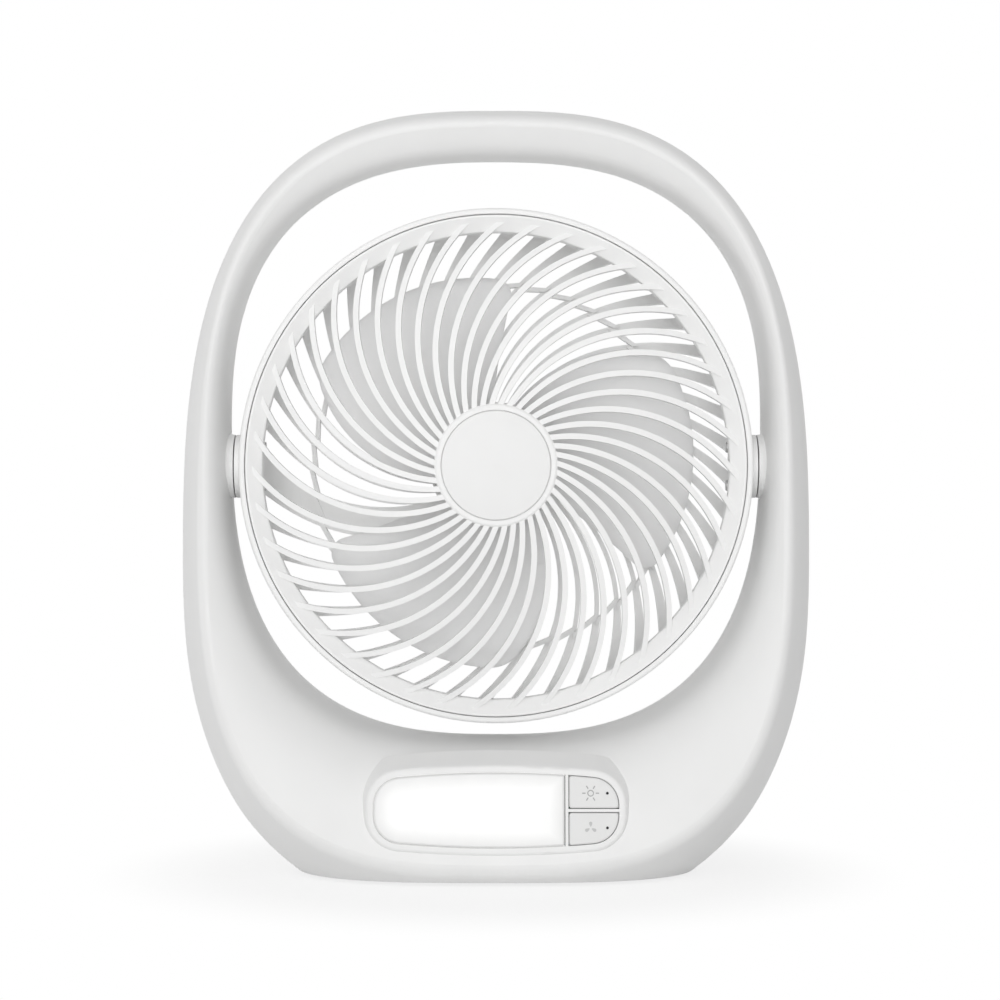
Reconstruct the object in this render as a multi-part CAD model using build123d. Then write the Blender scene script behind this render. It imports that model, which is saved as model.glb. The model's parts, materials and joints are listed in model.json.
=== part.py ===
from build123d import *
from math import atan, cos, degrees, radians, sin
import os

# A rechargeable tabletop fan. An egg-shaped ring is base, arms and carrying handle
# in one. A round fan head tilts between the arms, and the base holds a lamp, two
# push buttons and the battery. Millimetres, +Z up, the front faces -Y, and the
# origin is on the table under the middle of the base.

# Head and the ring's opening round it
HEAD_RADIUS = 78.5
SIDE_GAP = 3.9              # head to arm, at the opening's widest place
BOTTOM_GAP = 5.2            # head to the top of the base
HANDLE_GAP = 16.1           # head to the underside of the handle
BASE_HEIGHT = 41.5          # table to the lowest point of the opening
HANDLE_HEIGHT = 15.4        # handle, seen from the front
ARM_WIDTH = 14.45           # arm, seen from the front

# Ring outlines in the front view: each is a superellipse above and below its widest place
OUTLINE_WIDEST_BELOW_PIVOT = 27.5
OUTLINE_TAIL = 15.0         # the outline would close this far below the table
OUTLINE_POWER_UP = 2.8
OUTLINE_POWER_DOWN = 2.5
RIDGE_INSET_SIDE = 7.85     # crest of the front face, in from the outline
RIDGE_INSET_TOP = 4.0
RIDGE_BOTTOM = 4.1          # crest above the table
RIDGE_WIDEST_BELOW_PIVOT = 10.5
RIDGE_POWER_UP = 2.8
RIDGE_POWER_DOWN = 3.0
OPENING_WIDEST_ABOVE_PIVOT = 11.3
OPENING_POWER_UP = 2.6
OPENING_POWER_DOWN = 2.7

# Ring in depth
BASE_HALF_DEPTH = 38.5      # crest of the base from the middle plane
HANDLE_HALF_DEPTH = 12.5
DEPTH_FLARE = 1.35          # how late the ring widens towards the base
BAND_FULLNESS = 0.5
RIDGE_SOFTNESS = 2.6
RIDGE_SHARE = 0.35          # most of a narrow face that the soft crest may take
FACE_DROP = 4.0             # front face falls back this much from crest to opening
FACE_ROLL = 5.0
ROLL_DEPTH = 0.75
WALL = 2.0
SEAM_GROOVE = 0.4
FOOT_HEIGHT = 1.0
SECTION_STEP = 10           # degrees between the ring's lofted sections
SECTION_END = 110

# Lamp panel on the base
PANEL_HEIGHT = 22.8
PANEL_TILT = 4.0
PANEL_PROUD = 0.35          # panel ahead of the face at its lower edge
LENS_HALF_WIDTH = 36.5
LENS_HALF_HEIGHT = 11.25
LENS_END_BULGE = 0.5
LENS_SIDE_BULGE = 2.1
LENS_CORNER = 8.25
PANEL_CORNER = 0.8          # corners between the lamp and the buttons
BEZEL_WIDTH = 1.9
BEZEL_FLARE = 4.5           # bezel's foot beyond its front edge
BEZEL_FOOT_DEPTH = 7.0
BEZEL_ROUND = 1.1
POCKET_MARGIN = 2.0
POCKET_DEPTH = 15.0
PANEL_DIVIDE = 21.0         # lamp to the left of this, buttons to the right
PANEL_GAP = 1.3             # lamp to the buttons
BUTTON_GAP = 1.3            # button to button
DIVIDER_WIDTH = 0.9         # bars of the bezel between them
DIVIDER_BITE = 0.6          # bar ends inside the bezel
LENS_PROUD = 0.4
LENS_FIT = 0.15
LENS_ROUND = 0.7
FLANGE_WIDTH = 1.2
FLANGE_THICKNESS = 1.1
BUTTON_CLEARANCE = 0.2
BUTTON_TRAVEL = 0.8
BUTTON_ROUND = 0.5
BUTTON_REST_GAP = 0.1
STEM_RADIUS = 2.0
STEM_LENGTH = 1.4
SWITCH_SHIFT = 1.5          # switch to the left of the button's middle
SWITCH_RISE = 5.1           # switch above or below the panel's middle
INDICATOR_OFFSET = 5.7      # indicator to the right of the switch
INDICATOR_RADIUS = 0.4
INDICATOR_FIT = 0.03

# Board behind the panel, with the lamp's diodes and the two switches
BOARD_DEPTH = 9.0           # board's front face behind the panel's face
BOARD_THICKNESS = 1.6
BOARD_HALF_WIDTH = 44.5
BOARD_HALF_HEIGHT = 10.0
BOARD_ROUND = 3.0
BOARD_POST_X = 42.0
BOARD_POST_Z = 6.5
BOARD_POST_RADIUS = 2.4
SWITCH_SIZE = 6.0
SWITCH_HEIGHT = 3.4
SWITCH_ROUND = 0.6
PLUNGER_RADIUS = 1.7
PLUNGER_CLEARANCE = 0.15
PLUNGER_LENGTH = 2.2
PLUNGER_SPARE = 0.4         # room left under a fully pressed plunger
DIODE_COLUMNS = 6
DIODE_ROWS = 2
DIODE_SIZE = 3.0
DIODE_HEIGHT = 0.8
DIODE_ROUND = 0.4
DIODE_PITCH_X = 8.4
DIODE_PITCH_Z = 9.0
REFLECTOR_WALL = 1.0
REFLECTOR_INSET = 0.4
CHIP_WIDTH = 1.6
CHIP_HEIGHT = 0.6

# Fasteners
SCREW_HEAD_RADIUS = 2.6
SCREW_HEAD_HEIGHT = 2.0
SCREW_RADIUS = 1.3
SCREW_FIT = 0.06
SMALL_SCREW_HEAD_RADIUS = 1.7
SMALL_SCREW_HEAD_HEIGHT = 1.3
SMALL_SCREW_RADIUS = 0.9
SMALL_SCREW_BITE = 4.0
SCREW_EDGE_SHARE = 0.3      # rounding of a screw head's edge, as a share of its height
PILOT_SPARE = 0.3           # pilot hole deeper than the screw in it
COUNTERBORE_CLEARANCE = 0.4
POST_RADIUS = 3.6
SHELL_SCREW_SEAT = 6.0      # head's seat behind the middle plane
SHELL_SCREW_BITE = 8.0
SHELL_POSTS = [(54.0, 17.0), (72.0, 53.0), (55.0, 215.5)]

# Base plate, feet and battery
PLATE_THICKNESS = 2.2
PLATE_CLEARANCE = 0.25
BASE_POST_X = 46.0
BASE_POST_Y = 18.5
BASE_POST_TOP = 14.0
BASE_POST_WEB = 2.0
BASE_SCREW_BITE = 7.0
FOOT_X = 33.0
FOOT_Y = 18.5
FOOT_RADIUS = 5.0
FOOT_RECESS = 0.8
FOOT_ROUND = 0.4
CELL_RADIUS = 9.2
CELL_LENGTH = 64.0
CELL_NUB_RADIUS = 3.0
CELL_NUB = 1.2
CELL_SPACING = 19.4
CELL_MIDDLE_Y = -2.3
CELL_FIT = 0.15
CELL_EDGE_ROUND = 0.6
CRADLE_FLOOR = 1.4
CRADLE_HEIGHT = 7.0
CRADLE_WALL = 1.6
LINK_THICKNESS = 0.4
LINK_HEIGHT = 7.0
LINK_ROUND = 2.3

# Charging inlet in the rear
PORT_HEIGHT = 14.0
PORT_HALF_WIDTH = 4.5
PORT_HALF_HEIGHT = 1.65
PORT_WALL = 0.35
PORT_CLEARANCE = 0.3
PORT_CAVITY = 6.5
PORT_RECESS_X = 6.6
PORT_RECESS_Z = 3.7
PORT_RECESS_FLOOR = 35.2    # recess floor behind the middle plane
PORT_BLOCK_DEPTH = 2.6
PORT_BLOCK_MARGIN = 1.6
TONGUE_HALF_WIDTH = 3.3
TONGUE_THICKNESS = 0.7
TONGUE_SETBACK = 1.0
CHARGE_BOARD_Y = 22.4
CHARGE_BOARD_HALF_WIDTH = 14.0
CHARGE_BOARD_HALF_HEIGHT = 6.5
CHARGE_BOARD_ROUND = 1.0
CHARGE_POST_X = 10.5

# Barrel of the head
BARREL_FRONT = 15.5         # lip ahead of the tilt axis
BARREL_BACK = 11.5
BARREL_WALL = 2.7
LIP_WALL = 1.8
LIP_ROUND = 0.8
LEDGE_SETBACK = 6.0         # guard's seat behind the lip
LEDGE_THICKNESS = 2.0
LEDGE_WIDTH = 3.2

# Front guard
RIM_CLEARANCE = 0.2
RIM_WIDTH = 5.2
RIM_RECESS = 0.3
RIM_SLOPE = 2.2
RIM_ROUND = 0.7
RIM_EDGE_ROUND = 0.4
HUB_RADIUS = 18.8
HUB_FRONT = 21.2
HUB_THICKNESS = 5.2
HUB_ROUND = 1.0
CAP_RADIUS = 16.65
CAP_THICKNESS = 2.2
CAP_CLEARANCE = 0.1
CAP_CROWN = 0.5
CAP_EDGE = 0.35
FRONT_RIBS = 43
RIB_WIDTH = 1.7
RIB_DEPTH = 4.8
RIB_ROOT = 1.4              # rib's root inside the hub's edge
RIB_TAIL = 3.0              # rib's tail on the rim
RIB_HUB_FRONT = 20.9
RIB_RIM_FRONT = 14.4
RIB_DOME = 0.9
SWIRL_TURN = 48.3           # degrees that a rib turns from root to tail
SWIRL_POWER = 0.99
FRONT_RIB_ANGLE = 3.2
GRILLE_SCREWS = 4
GRILLE_SCREW_ANGLE = 45.0
GRILLE_SCREW_INSET = 1.8    # from the barrel's inner wall

# Rear guard
REAR_RIBS = 44
REAR_RIB_ANGLE = -0.9
REAR_SWIRL_TURN = 43.2
REAR_RIB_WIDTH = 1.4        # inside the ring
REAR_RIB_RING_WIDTH = 2.0   # just outside the ring
REAR_RIB_OUTER_WIDTH = 3.4  # at the barrel
BOWL_INSET = 1.0
BOWL_DEPTH = 30.5
BOWL_EDGE_DEPTH = 27.7
BOWL_ROUND = 15.0
BOWL_THICKNESS = 3.5
RING_RADIUS = 58.3
RING_STEP = 1.5             # each piece of the ring ends this much nearer the middle
RING_WIDTH = 1.6
RING_THICKNESS = 4.6
RING_PROUD = 0.5            # ring behind the edge of the bowl
DISC_RADIUS = 21.0
CHANNEL_WIDTH = 9.5
CHANNEL_END = 177.7         # angle where the cable channel meets the barrel, at the left pivot

# Motor in the rear guard's cup
MOTOR_RADIUS = 12.2
MOTOR_LENGTH = 22.0
MOTOR_WALL = 1.0
MOTOR_CLEARANCE = 0.1
MOTOR_BOSS_RADIUS = 3.4
MOTOR_BOSS_HEIGHT = 1.6
MOTOR_END_THICKNESS = 2.6
MOTOR_SCREW_RADIUS_OUT = 8.0
CUP_WALL = 1.9
CUP_FRONT = 1.0             # cup's front face ahead of the tilt axis
CUP_PLATE = 2.0
COVER_RADIUS = 18.0
COVER_THICKNESS = 2.0
COVER_CLEARANCE = 0.2
COVER_CROWN = 0.4
SHAFT_RADIUS = 1.0
SHAFT_FIT = 0.03
BEARING_RADIUS = 2.6
BEARING_LENGTH = 2.4
MAGNET_THICKNESS = 1.2
MAGNET_ANGLE = 130.0
AIR_GAP = 0.4
ARMATURE_GAP = 2.5          # bearing to armature
ARMATURE_LENGTH = 11.0
ARMATURE_POLES = 3
ARMATURE_SLOT = 1.6
ARMATURE_CORE_RADIUS = 4.0
COMMUTATOR_RADIUS = 2.2
COMMUTATOR_LENGTH = 3.0

# Impeller
IMPELLER_RADIUS = 17.2
IMPELLER_FRONT = 9.5        # hub's front ahead of the tilt axis
IMPELLER_BACK = 13.0
IMPELLER_WALL = 1.7
IMPELLER_FACE = 2.4
IMPELLER_ROUND = 3.0
IMPELLER_BOSS_RADIUS = 4.0
IMPELLER_BOSS_LENGTH = 4.2
BLADES = 3
BLADE_ANGLE = 84.6          # near-radial edge of the first blade
BLADE_RISE = 20.0           # blade's front edge ahead of its rear edge
BLADE_BACK = 12.0
BLADE_CAMBER = 1.6
BLADE_SPAN = 113.0
BLADE_ROOT_THICKNESS = 2.2
BLADE_TIP_THICKNESS = 1.5
BLADE_EDGE = [(16.0, 9.5), (38.0, 3.0), (58.5, -0.5)]
BLADE_TIP = (61.3, 33.0)
BLADE_SWEPT_EDGE = [(62.5, 68.0), (45.0, 85.0), (16.0, 113.0)]
BLADE_CORNER = 5.0
BLADE_SWEPT_CORNER = 11.0
BLADE_STEP = 13             # degrees between the blade's lofted sections

# Tilt pivots
COLLAR_RADIUS = 9.75
COLLAR_HEIGHT = 1.9
PIVOT_GAP = 0.4             # collar to the arm's boss
JOURNAL_RADIUS = 4.5
PIN_SEAT = 4.5              # pin's flange seat in from the barrel's outside
PIN_FLANGE_RADIUS = 7.4
PIN_FLANGE = 1.5
PIN_PAD_RADIUS = 8.2
PIN_SCREW_OUT = 5.9
PIN_SCREW_BITE = 3.6
LEAD_BORE_RADIUS = 2.4
BUSH_WALL = 2.0
BUSH_LENGTH = 5.0
BUSH_CLEARANCE = 0.05
JOURNAL_CLEARANCE = 0.4
BOSS_RADIUS = 9.75
BOSS_FLARE = 3.0
BOSS_LIP = 1.2
WASHER_RADIUS = 7.4
WASHER_THICKNESS = 0.6
CLIP_RADIUS = 6.6
CLIP_THICKNESS = 0.9
CLIP_GROOVE = 0.8
CLIP_MOUTH = 60.0
PIVOT_PLAY = 0.05
JOURNAL_END = 1.6           # journal past the clip

# Worked out from the above
PIVOT_HEIGHT = BASE_HEIGHT + BOTTOM_GAP + HEAD_RADIUS
OPENING_TOP = PIVOT_HEIGHT + HEAD_RADIUS + HANDLE_GAP
FRAME_TOP = OPENING_TOP + HANDLE_HEIGHT
OPENING_HALF_WIDTH = HEAD_RADIUS + SIDE_GAP
FRAME_HALF_WIDTH = OPENING_HALF_WIDTH + ARM_WIDTH
RING_CENTRE = (OPENING_TOP + BASE_HEIGHT) / 2
RIDGE_TOP = FRAME_TOP - RIDGE_INSET_TOP
FAR = 2 * FRAME_TOP         # longer than anything that is cut
PAST = 1.0                  # how far a cutter runs past what it cuts
SMALL = 1e-4
BISECTIONS = 60

OUTLINE = (
    FRAME_HALF_WIDTH,
    PIVOT_HEIGHT - OUTLINE_WIDEST_BELOW_PIVOT,
    FRAME_TOP,
    -OUTLINE_TAIL,
    OUTLINE_POWER_UP,
    OUTLINE_POWER_DOWN,
)
RIDGE = (
    FRAME_HALF_WIDTH - RIDGE_INSET_SIDE,
    PIVOT_HEIGHT - RIDGE_WIDEST_BELOW_PIVOT,
    RIDGE_TOP,
    RIDGE_BOTTOM,
    RIDGE_POWER_UP,
    RIDGE_POWER_DOWN,
)
OPENING = (
    OPENING_HALF_WIDTH,
    PIVOT_HEIGHT + OPENING_WIDEST_ABOVE_PIVOT,
    OPENING_TOP,
    BASE_HEIGHT,
    OPENING_POWER_UP,
    OPENING_POWER_DOWN,
)

# Panel plane: its lower edge just proud of the base's front face, leaning back
PANEL_DROP = LENS_HALF_HEIGHT + BEZEL_WIDTH
FACE_LEAN = FACE_DROP / (BASE_HEIGHT - RIDGE_BOTTOM)
FACE_REACH = BASE_HALF_DEPTH - FACE_LEAN * (PANEL_HEIGHT - PANEL_DROP - RIDGE_BOTTOM)
PANEL_REACH = FACE_REACH + PANEL_PROUD - PANEL_DROP * sin(radians(PANEL_TILT))
PANEL = Plane(
    (0, -PANEL_REACH, PANEL_HEIGHT),
    x_dir=(1, 0, 0),
    z_dir=(0, -cos(radians(PANEL_TILT)), sin(radians(PANEL_TILT))),
)

# Stations along the tilt axis, from the middle outwards
COLLAR_FACE = HEAD_RADIUS + COLLAR_HEIGHT
BOSS_FACE = COLLAR_FACE + PIVOT_GAP
BUSH_START = BOSS_FACE + BOSS_LIP
BUSH_END = BUSH_START + BUSH_LENGTH
BOSS_END = BUSH_END + BOSS_LIP
CLIP_START = BOSS_END + WASHER_THICKNESS + 2 * PIVOT_PLAY
JOURNAL_TIP = CLIP_START + CLIP_THICKNESS + JOURNAL_END
PIN_SEAT_X = HEAD_RADIUS - PIN_SEAT

# Stations along the fan axis, front negative
LEDGE_FRONT = -BARREL_FRONT + LEDGE_SETBACK
RIM_RADIUS = HEAD_RADIUS - LIP_WALL - RIM_CLEARANCE
RIM_INNER = RIM_RADIUS - RIM_WIDTH
RIB_ROOT_RADIUS = HUB_RADIUS - RIB_ROOT
RIB_TAIL_RADIUS = RIM_INNER + RIB_TAIL
MOTOR_FRONT = -CUP_FRONT + CUP_PLATE
MOTOR_BACK = MOTOR_FRONT + MOTOR_LENGTH
CUP_INNER = MOTOR_RADIUS + MOTOR_CLEARANCE
CELL_AXIS_HEIGHT = FOOT_HEIGHT + PLATE_THICKNESS + CRADLE_FLOOR + CELL_RADIUS + CELL_FIT
PLATE_TOP = FOOT_HEIGHT + PLATE_THICKNESS


def polar(radius, angle):
    """Point in the front view, the angle counted from +X towards +Z."""
    return (radius * cos(radians(angle)), radius * sin(radians(angle)))


def rod(start, direction, radius, length):
    """Round rod from a point along a direction."""
    return extrude(Plane(start, z_dir=direction) * Circle(radius), length)


def turned(profile, radii=0.0):
    """Solid turned about the fan axis from a closed profile of (radius, y) points."""
    return revolve(make_face(FilletPolyline(*profile, radius=radii, close=True)), Axis.Y)


def front_prism(face, y_front, y_back):
    """Prism along Y of a face drawn in the front view, x right and z up."""
    plane = Plane((0, y_back, 0), x_dir=(1, 0, 0), z_dir=(0, -1, 0))
    return extrude(plane * face, y_back - y_front)


def both_sides(part):
    """A part on the right and its mirror image on the left."""
    return part + mirror(part, Plane.YZ)


def at_head(part):
    """Lift a part that is drawn about the origin to the head's centre."""
    return Pos(0, 0, PIVOT_HEIGHT) * part


# Ring shells


def egg_radius(egg, angle):
    """Distance from the ring's centre to an egg outline along an angle."""
    half_width, widest, top, bottom, power_up, power_down = egg
    inside = 0.0
    outside = FAR
    for _ in range(BISECTIONS):
        middle = (inside + outside) / 2
        x, z = polar(middle, angle)
        rise = z + RING_CENTRE - widest
        reach = top - widest if rise > 0 else widest - bottom
        power = power_up if rise > 0 else power_down
        if (abs(x) / half_width) ** power + (abs(rise) / reach) ** power < 1:
            inside = middle
        else:
            outside = middle
    return inside


def ridge_half_depth(height):
    """Half depth of the ring at the height of its crest."""
    share = (RIDGE_TOP - height) / (RIDGE_TOP - RIDGE_BOTTOM)
    return HANDLE_HALF_DEPTH + (BASE_HALF_DEPTH - HANDLE_HALF_DEPTH) * max(share, 0) ** DEPTH_FLARE


def ring_section(angle, inset, groove):
    """Wire of the front half of the ring, cut at an angle about the ring's centre."""
    outer = egg_radius(OUTLINE, angle) - inset
    crest = egg_radius(RIDGE, angle)
    inner = egg_radius(OPENING, angle)
    depth = ridge_half_depth(RING_CENTRE + crest * sin(radians(angle))) - inset
    lean = FACE_DROP / (crest - inner)
    crest -= inset
    inner += inset
    width = crest - inner
    softness = min(RIDGE_SOFTNESS, RIDGE_SHARE * width)
    corner = Vector(crest, -depth)
    band = Vector(outer, -BAND_FULLNESS * depth)
    inward = Vector(-1, lean).normalized()
    band_end = corner + (band - corner).normalized() * softness
    face_start = corner + inward * softness
    face_pull = corner + inward * width * width / (width + FACE_ROLL)
    roll_pull = Vector(inner, -ROLL_DEPTH * depth)
    outer_seam = Vector(outer, -groove)
    inner_seam = Vector(inner, -groove)
    runs = [
        (outer_seam, band, band_end),
        (band_end, corner, face_start),
        (face_start, face_pull, roll_pull, inner_seam),
    ]
    edges = [section_edge(run, angle) for run in runs]
    seam = [inner_seam, outer_seam]
    if groove:
        seam = [inner_seam, Vector(inner + groove, 0), Vector(outer - groove, 0), outer_seam]
    edges += [section_edge(pair, angle) for pair in zip(seam, seam[1:])]
    return Wire(edges)


def section_edge(run, angle):
    """Edge through (radius, y) points, stood up in the plane at an angle."""
    x, z = polar(1, angle)
    points = [(p.X * x, p.Y, RING_CENTRE + p.X * z) for p in run]
    return Edge.make_line(*points) if len(points) == 2 else Edge.make_bezier(*points)


def ring_quarter(inset, groove=0.0):
    """Right half of the ring's front, moved in by an inset on every side."""
    angles = range(SECTION_END, -SECTION_END - 1, -SECTION_STEP)
    ring = Solid.make_loft([ring_section(angle, inset, groove) for angle in angles])
    return ring & RIGHT


RIGHT = Pos(FAR / 2, 0, 0) * Box(FAR, 2 * FAR, 2 * FAR)
SKIN = ring_quarter(0, SEAM_GROOVE)
HOLLOW = ring_quarter(WALL)
FLOOR = Pos(0, 0, FOOT_HEIGHT - FAR / 2) * Box(FAR, FAR, FAR)


def panel_outline(grow):
    """The lamp panel's oval, four bulging sides with soft corners, grown by a margin."""
    x = LENS_HALF_WIDTH - LENS_END_BULGE
    z = LENS_HALF_HEIGHT - LENS_SIDE_BULGE
    side_radius = (x**2 + LENS_SIDE_BULGE**2) / (2 * LENS_SIDE_BULGE)
    end_radius = (z**2 + LENS_END_BULGE**2) / (2 * LENS_END_BULGE)
    side_drop = side_radius - LENS_HALF_HEIGHT
    end_shift = end_radius - LENS_HALF_WIDTH
    # the corner's centre, where it touches the side's arc and the end's arc from inside
    apart = (side_drop**2 + end_shift**2) ** 0.5
    to_side = side_radius - LENS_CORNER
    to_end = end_radius - LENS_CORNER
    along = (to_side**2 - to_end**2 + apart**2) / (2 * apart)
    across = (to_side**2 - along**2) ** 0.5
    line = Vector(-end_shift, side_drop) / apart
    side_centre = Vector(0, -side_drop)
    end_centre = Vector(-end_shift, 0)
    corner = side_centre + line * along + Vector(line.Y, -line.X) * across
    from_side = (corner - side_centre).normalized()
    from_end = (corner - end_centre).normalized()
    turn = (from_side + from_end).normalized()
    start = side_centre + from_side * (side_radius + grow)
    middle = corner + turn * (LENS_CORNER + grow)
    end = end_centre + from_end * (end_radius + grow)
    top = LENS_HALF_HEIGHT + grow
    tip = LENS_HALF_WIDTH + grow
    arcs = []
    for sign in (-1, 1):
        left = (-start.X, sign * start.Y)
        arcs.append(ThreePointArc(left, (0, sign * top), (start.X, sign * start.Y)))
        arcs.append(ThreePointArc((sign * end.X, -end.Y), (sign * tip, 0), (sign * end.X, end.Y)))
        for side in (-1, 1):
            points = [(side * point.X, sign * point.Y) for point in (start, middle, end)]
            arcs.append(ThreePointArc(*points))
    return make_face(arcs)


def panel_face(grow, left=-FAR, right=FAR, low=-FAR, high=FAR):
    """The panel's oval grown by a margin and cut to a window with soft corners."""
    window = Pos((left + right) / 2, (low + high) / 2) * Rectangle(right - left, high - low)
    face = panel_outline(grow) & window
    corners = []
    for vertex in face.vertices():
        to_side = min(abs(vertex.X - left), abs(vertex.X - right))
        to_end = min(abs(vertex.Y - low), abs(vertex.Y - high))
        if min(to_side, to_end) < SMALL:
            corners.append(vertex)
    return fillet(corners, PANEL_CORNER) if corners else face


def panel_solid(face, back, front):
    """Prism on the panel between two depths, positive ahead of the panel's face."""
    return extrude(PANEL.offset(back) * face, front - back)


def panel_rod(x, z, radius, back, front):
    """Round rod square to the panel."""
    return panel_solid(Pos(x, z) * Circle(radius), back, front)


def panel_front_edges(part):
    """Edges of the face that looks out of the panel."""
    return part.faces().sort_by(Axis(PANEL.origin, PANEL.z_dir))[-1].edges()


def bezel():
    """Raised frame round the lamp and the buttons."""
    front = PANEL * panel_face(BEZEL_WIDTH)
    foot = PANEL.offset(-BEZEL_FOOT_DEPTH) * panel_face(BEZEL_WIDTH + BEZEL_FLARE)
    pad = loft([foot, front])
    return fillet(panel_front_edges(pad), BEZEL_ROUND)


def divider():
    """Bars of the bezel between the lamp and the two buttons."""
    upright = Pos(PANEL_DIVIDE, 0) * Rectangle(DIVIDER_WIDTH, FAR)
    level = Pos(PANEL_DIVIDE + FAR / 2, 0) * Rectangle(FAR, DIVIDER_WIDTH)
    return panel_solid(panel_outline(DIVIDER_BITE) & (upright + level), -WALL, 0)


def shell_posts(side, radius, start, length):
    """Rods along Y at the right shell screws, on the front (-1) or rear (+1) side."""
    rods = []
    for x, z in SHELL_POSTS:
        rods.append(rod((x, side * start, z), (0, side, 0), radius, length))
    return rods


def base_posts(side):
    """Right upright post for the base plate's screw, with a web to the wall."""
    height = BASE_POST_TOP - PLATE_TOP
    post = rod((BASE_POST_X, side * BASE_POST_Y, PLATE_TOP), (0, 0, 1), POST_RADIUS, height)
    middle = (BASE_POST_X, side * (BASE_POST_Y + BASE_HALF_DEPTH / 2), PLATE_TOP + height / 2)
    web = Pos(*middle) * Box(BASE_POST_WEB, BASE_HALF_DEPTH, height)
    return post + web


def base_pilot(side):
    """Pilot hole in that post."""
    start = (BASE_POST_X, side * BASE_POST_Y, 0)
    return rod(start, (0, 0, 1), SCREW_RADIUS + SCREW_FIT, PLATE_TOP + BASE_SCREW_BITE)


def pivot_core():
    """Solid boss round the right pivot, inside and just outside the arm."""
    return rod((BOSS_FACE, 0, PIVOT_HEIGHT), (1, 0, 0), BOSS_RADIUS, BOSS_END - BOSS_FACE)


def pivot_flare(side):
    """Front (-1) or rear (+1) half of the boss on the right arm, flaring into the arm."""
    flare_end = BOSS_FACE + BOSS_FLARE
    outline = [
        Line((BOSS_FACE, 0), (BOSS_FACE, BOSS_RADIUS)),
        TangentArc((BOSS_FACE, BOSS_RADIUS), (flare_end, BOSS_RADIUS + BOSS_FLARE), tangent=(1, 0)),
        Line((flare_end, BOSS_RADIUS + BOSS_FLARE), (flare_end, 0)),
        Line((flare_end, 0), (BOSS_FACE, 0)),
    ]
    return at_head(revolve(make_face(outline), Axis.X)) & half_space(side)


def pivot_bore():
    """Bore for the right journal, with a wider room for the bush."""
    start = (BOSS_FACE - PIVOT_GAP, 0, PIVOT_HEIGHT)
    length = BOSS_END - BOSS_FACE + 2 * PIVOT_GAP
    journal = rod(start, (1, 0, 0), JOURNAL_RADIUS + JOURNAL_CLEARANCE, length)
    bush_radius = JOURNAL_RADIUS + BUSH_CLEARANCE + BUSH_WALL
    return journal + rod((BUSH_START, 0, PIVOT_HEIGHT), (1, 0, 0), bush_radius, BUSH_LENGTH)


def half_space(side):
    """Everything in front of (-1) or behind (+1) the middle plane."""
    return Pos(0, side * FAR / 2, 0) * Box(2 * FAR, FAR, 2 * FAR)


def board_fixings(radius, back, front):
    """Rods at the four fixings of the panel's board."""
    return [
        panel_rod(x, z, radius, back, front)
        for x in (-BOARD_POST_X, BOARD_POST_X)
        for z in (-BOARD_POST_Z, BOARD_POST_Z)
    ]


def front_shell():
    """Front half of the ring, with the bezel, the window and the screw posts."""
    cavity = HOLLOW - shell_posts(-1, POST_RADIUS, 0, FAR) - base_posts(-1) - pivot_core()
    cavity -= board_fixings(BOARD_POST_RADIUS, -BOARD_DEPTH, FAR)
    body = SKIN + (bezel() & RIGHT) - cavity + pivot_flare(-1)
    body -= panel_solid(panel_face(POCKET_MARGIN), -POCKET_DEPTH, -WALL)
    body -= panel_solid(panel_face(0), -WALL - PAST, FAR)
    body -= pivot_bore()
    body -= shell_posts(-1, SCREW_RADIUS + SCREW_FIT, 0, SHELL_SCREW_BITE + PILOT_SPARE)
    body -= board_fixings(SMALL_SCREW_RADIUS + SCREW_FIT, -BOARD_DEPTH, -BOARD_DEPTH + SMALL_SCREW_BITE)
    half = body - base_pilot(-1) - FLOOR
    return half + divider() + mirror(half, Plane.YZ)


def port_face(grow):
    """Stadium outline of the charging inlet, in the front view."""
    height = 2 * (PORT_HALF_HEIGHT + grow)
    return SlotOverall(2 * (PORT_HALF_WIDTH + grow), height)


def at_port(part):
    """Lift a part that is drawn about the origin to the inlet."""
    return Pos(0, 0, PORT_HEIGHT) * part


def charge_posts(radius, start, length):
    """Rods along Y at the two fixings of the charging board."""
    places = (-CHARGE_POST_X, CHARGE_POST_X)
    return [rod((x, start, PORT_HEIGHT), (0, 1, 0), radius, length) for x in places]


def rear_shell():
    """Rear half of the ring, with screw wells and the charging inlet's recess."""
    board_back = CHARGE_BOARD_Y + BOARD_THICKNESS
    block = Pos(0, PORT_RECESS_FLOOR - PORT_BLOCK_DEPTH + FAR / 2, PORT_HEIGHT) * Box(
        2 * (PORT_RECESS_X + PORT_BLOCK_MARGIN), FAR, 2 * (PORT_RECESS_Z + PORT_BLOCK_MARGIN)
    )
    cavity = mirror(HOLLOW, Plane.XZ) - shell_posts(1, POST_RADIUS, 0, FAR) - base_posts(1) - pivot_core()
    cavity -= charge_posts(BOARD_POST_RADIUS, board_back, FAR)
    cavity -= block
    body = mirror(SKIN, Plane.XZ) - cavity + pivot_flare(1)
    body -= pivot_bore()
    body -= shell_posts(1, SCREW_RADIUS + SCREW_FIT, 0, SHELL_SCREW_SEAT)
    body -= shell_posts(1, SCREW_HEAD_RADIUS + COUNTERBORE_CLEARANCE, SHELL_SCREW_SEAT, FAR)
    body -= charge_posts(SMALL_SCREW_RADIUS + SCREW_FIT, board_back, SMALL_SCREW_BITE)
    recess = SlotOverall(2 * PORT_RECESS_X, 2 * PORT_RECESS_Z)
    body -= at_port(front_prism(recess, PORT_RECESS_FLOOR, FAR))
    body -= at_port(front_prism(port_face(PORT_CLEARANCE), board_back, FAR))
    return both_sides(body - base_pilot(1) - FLOOR)


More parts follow.
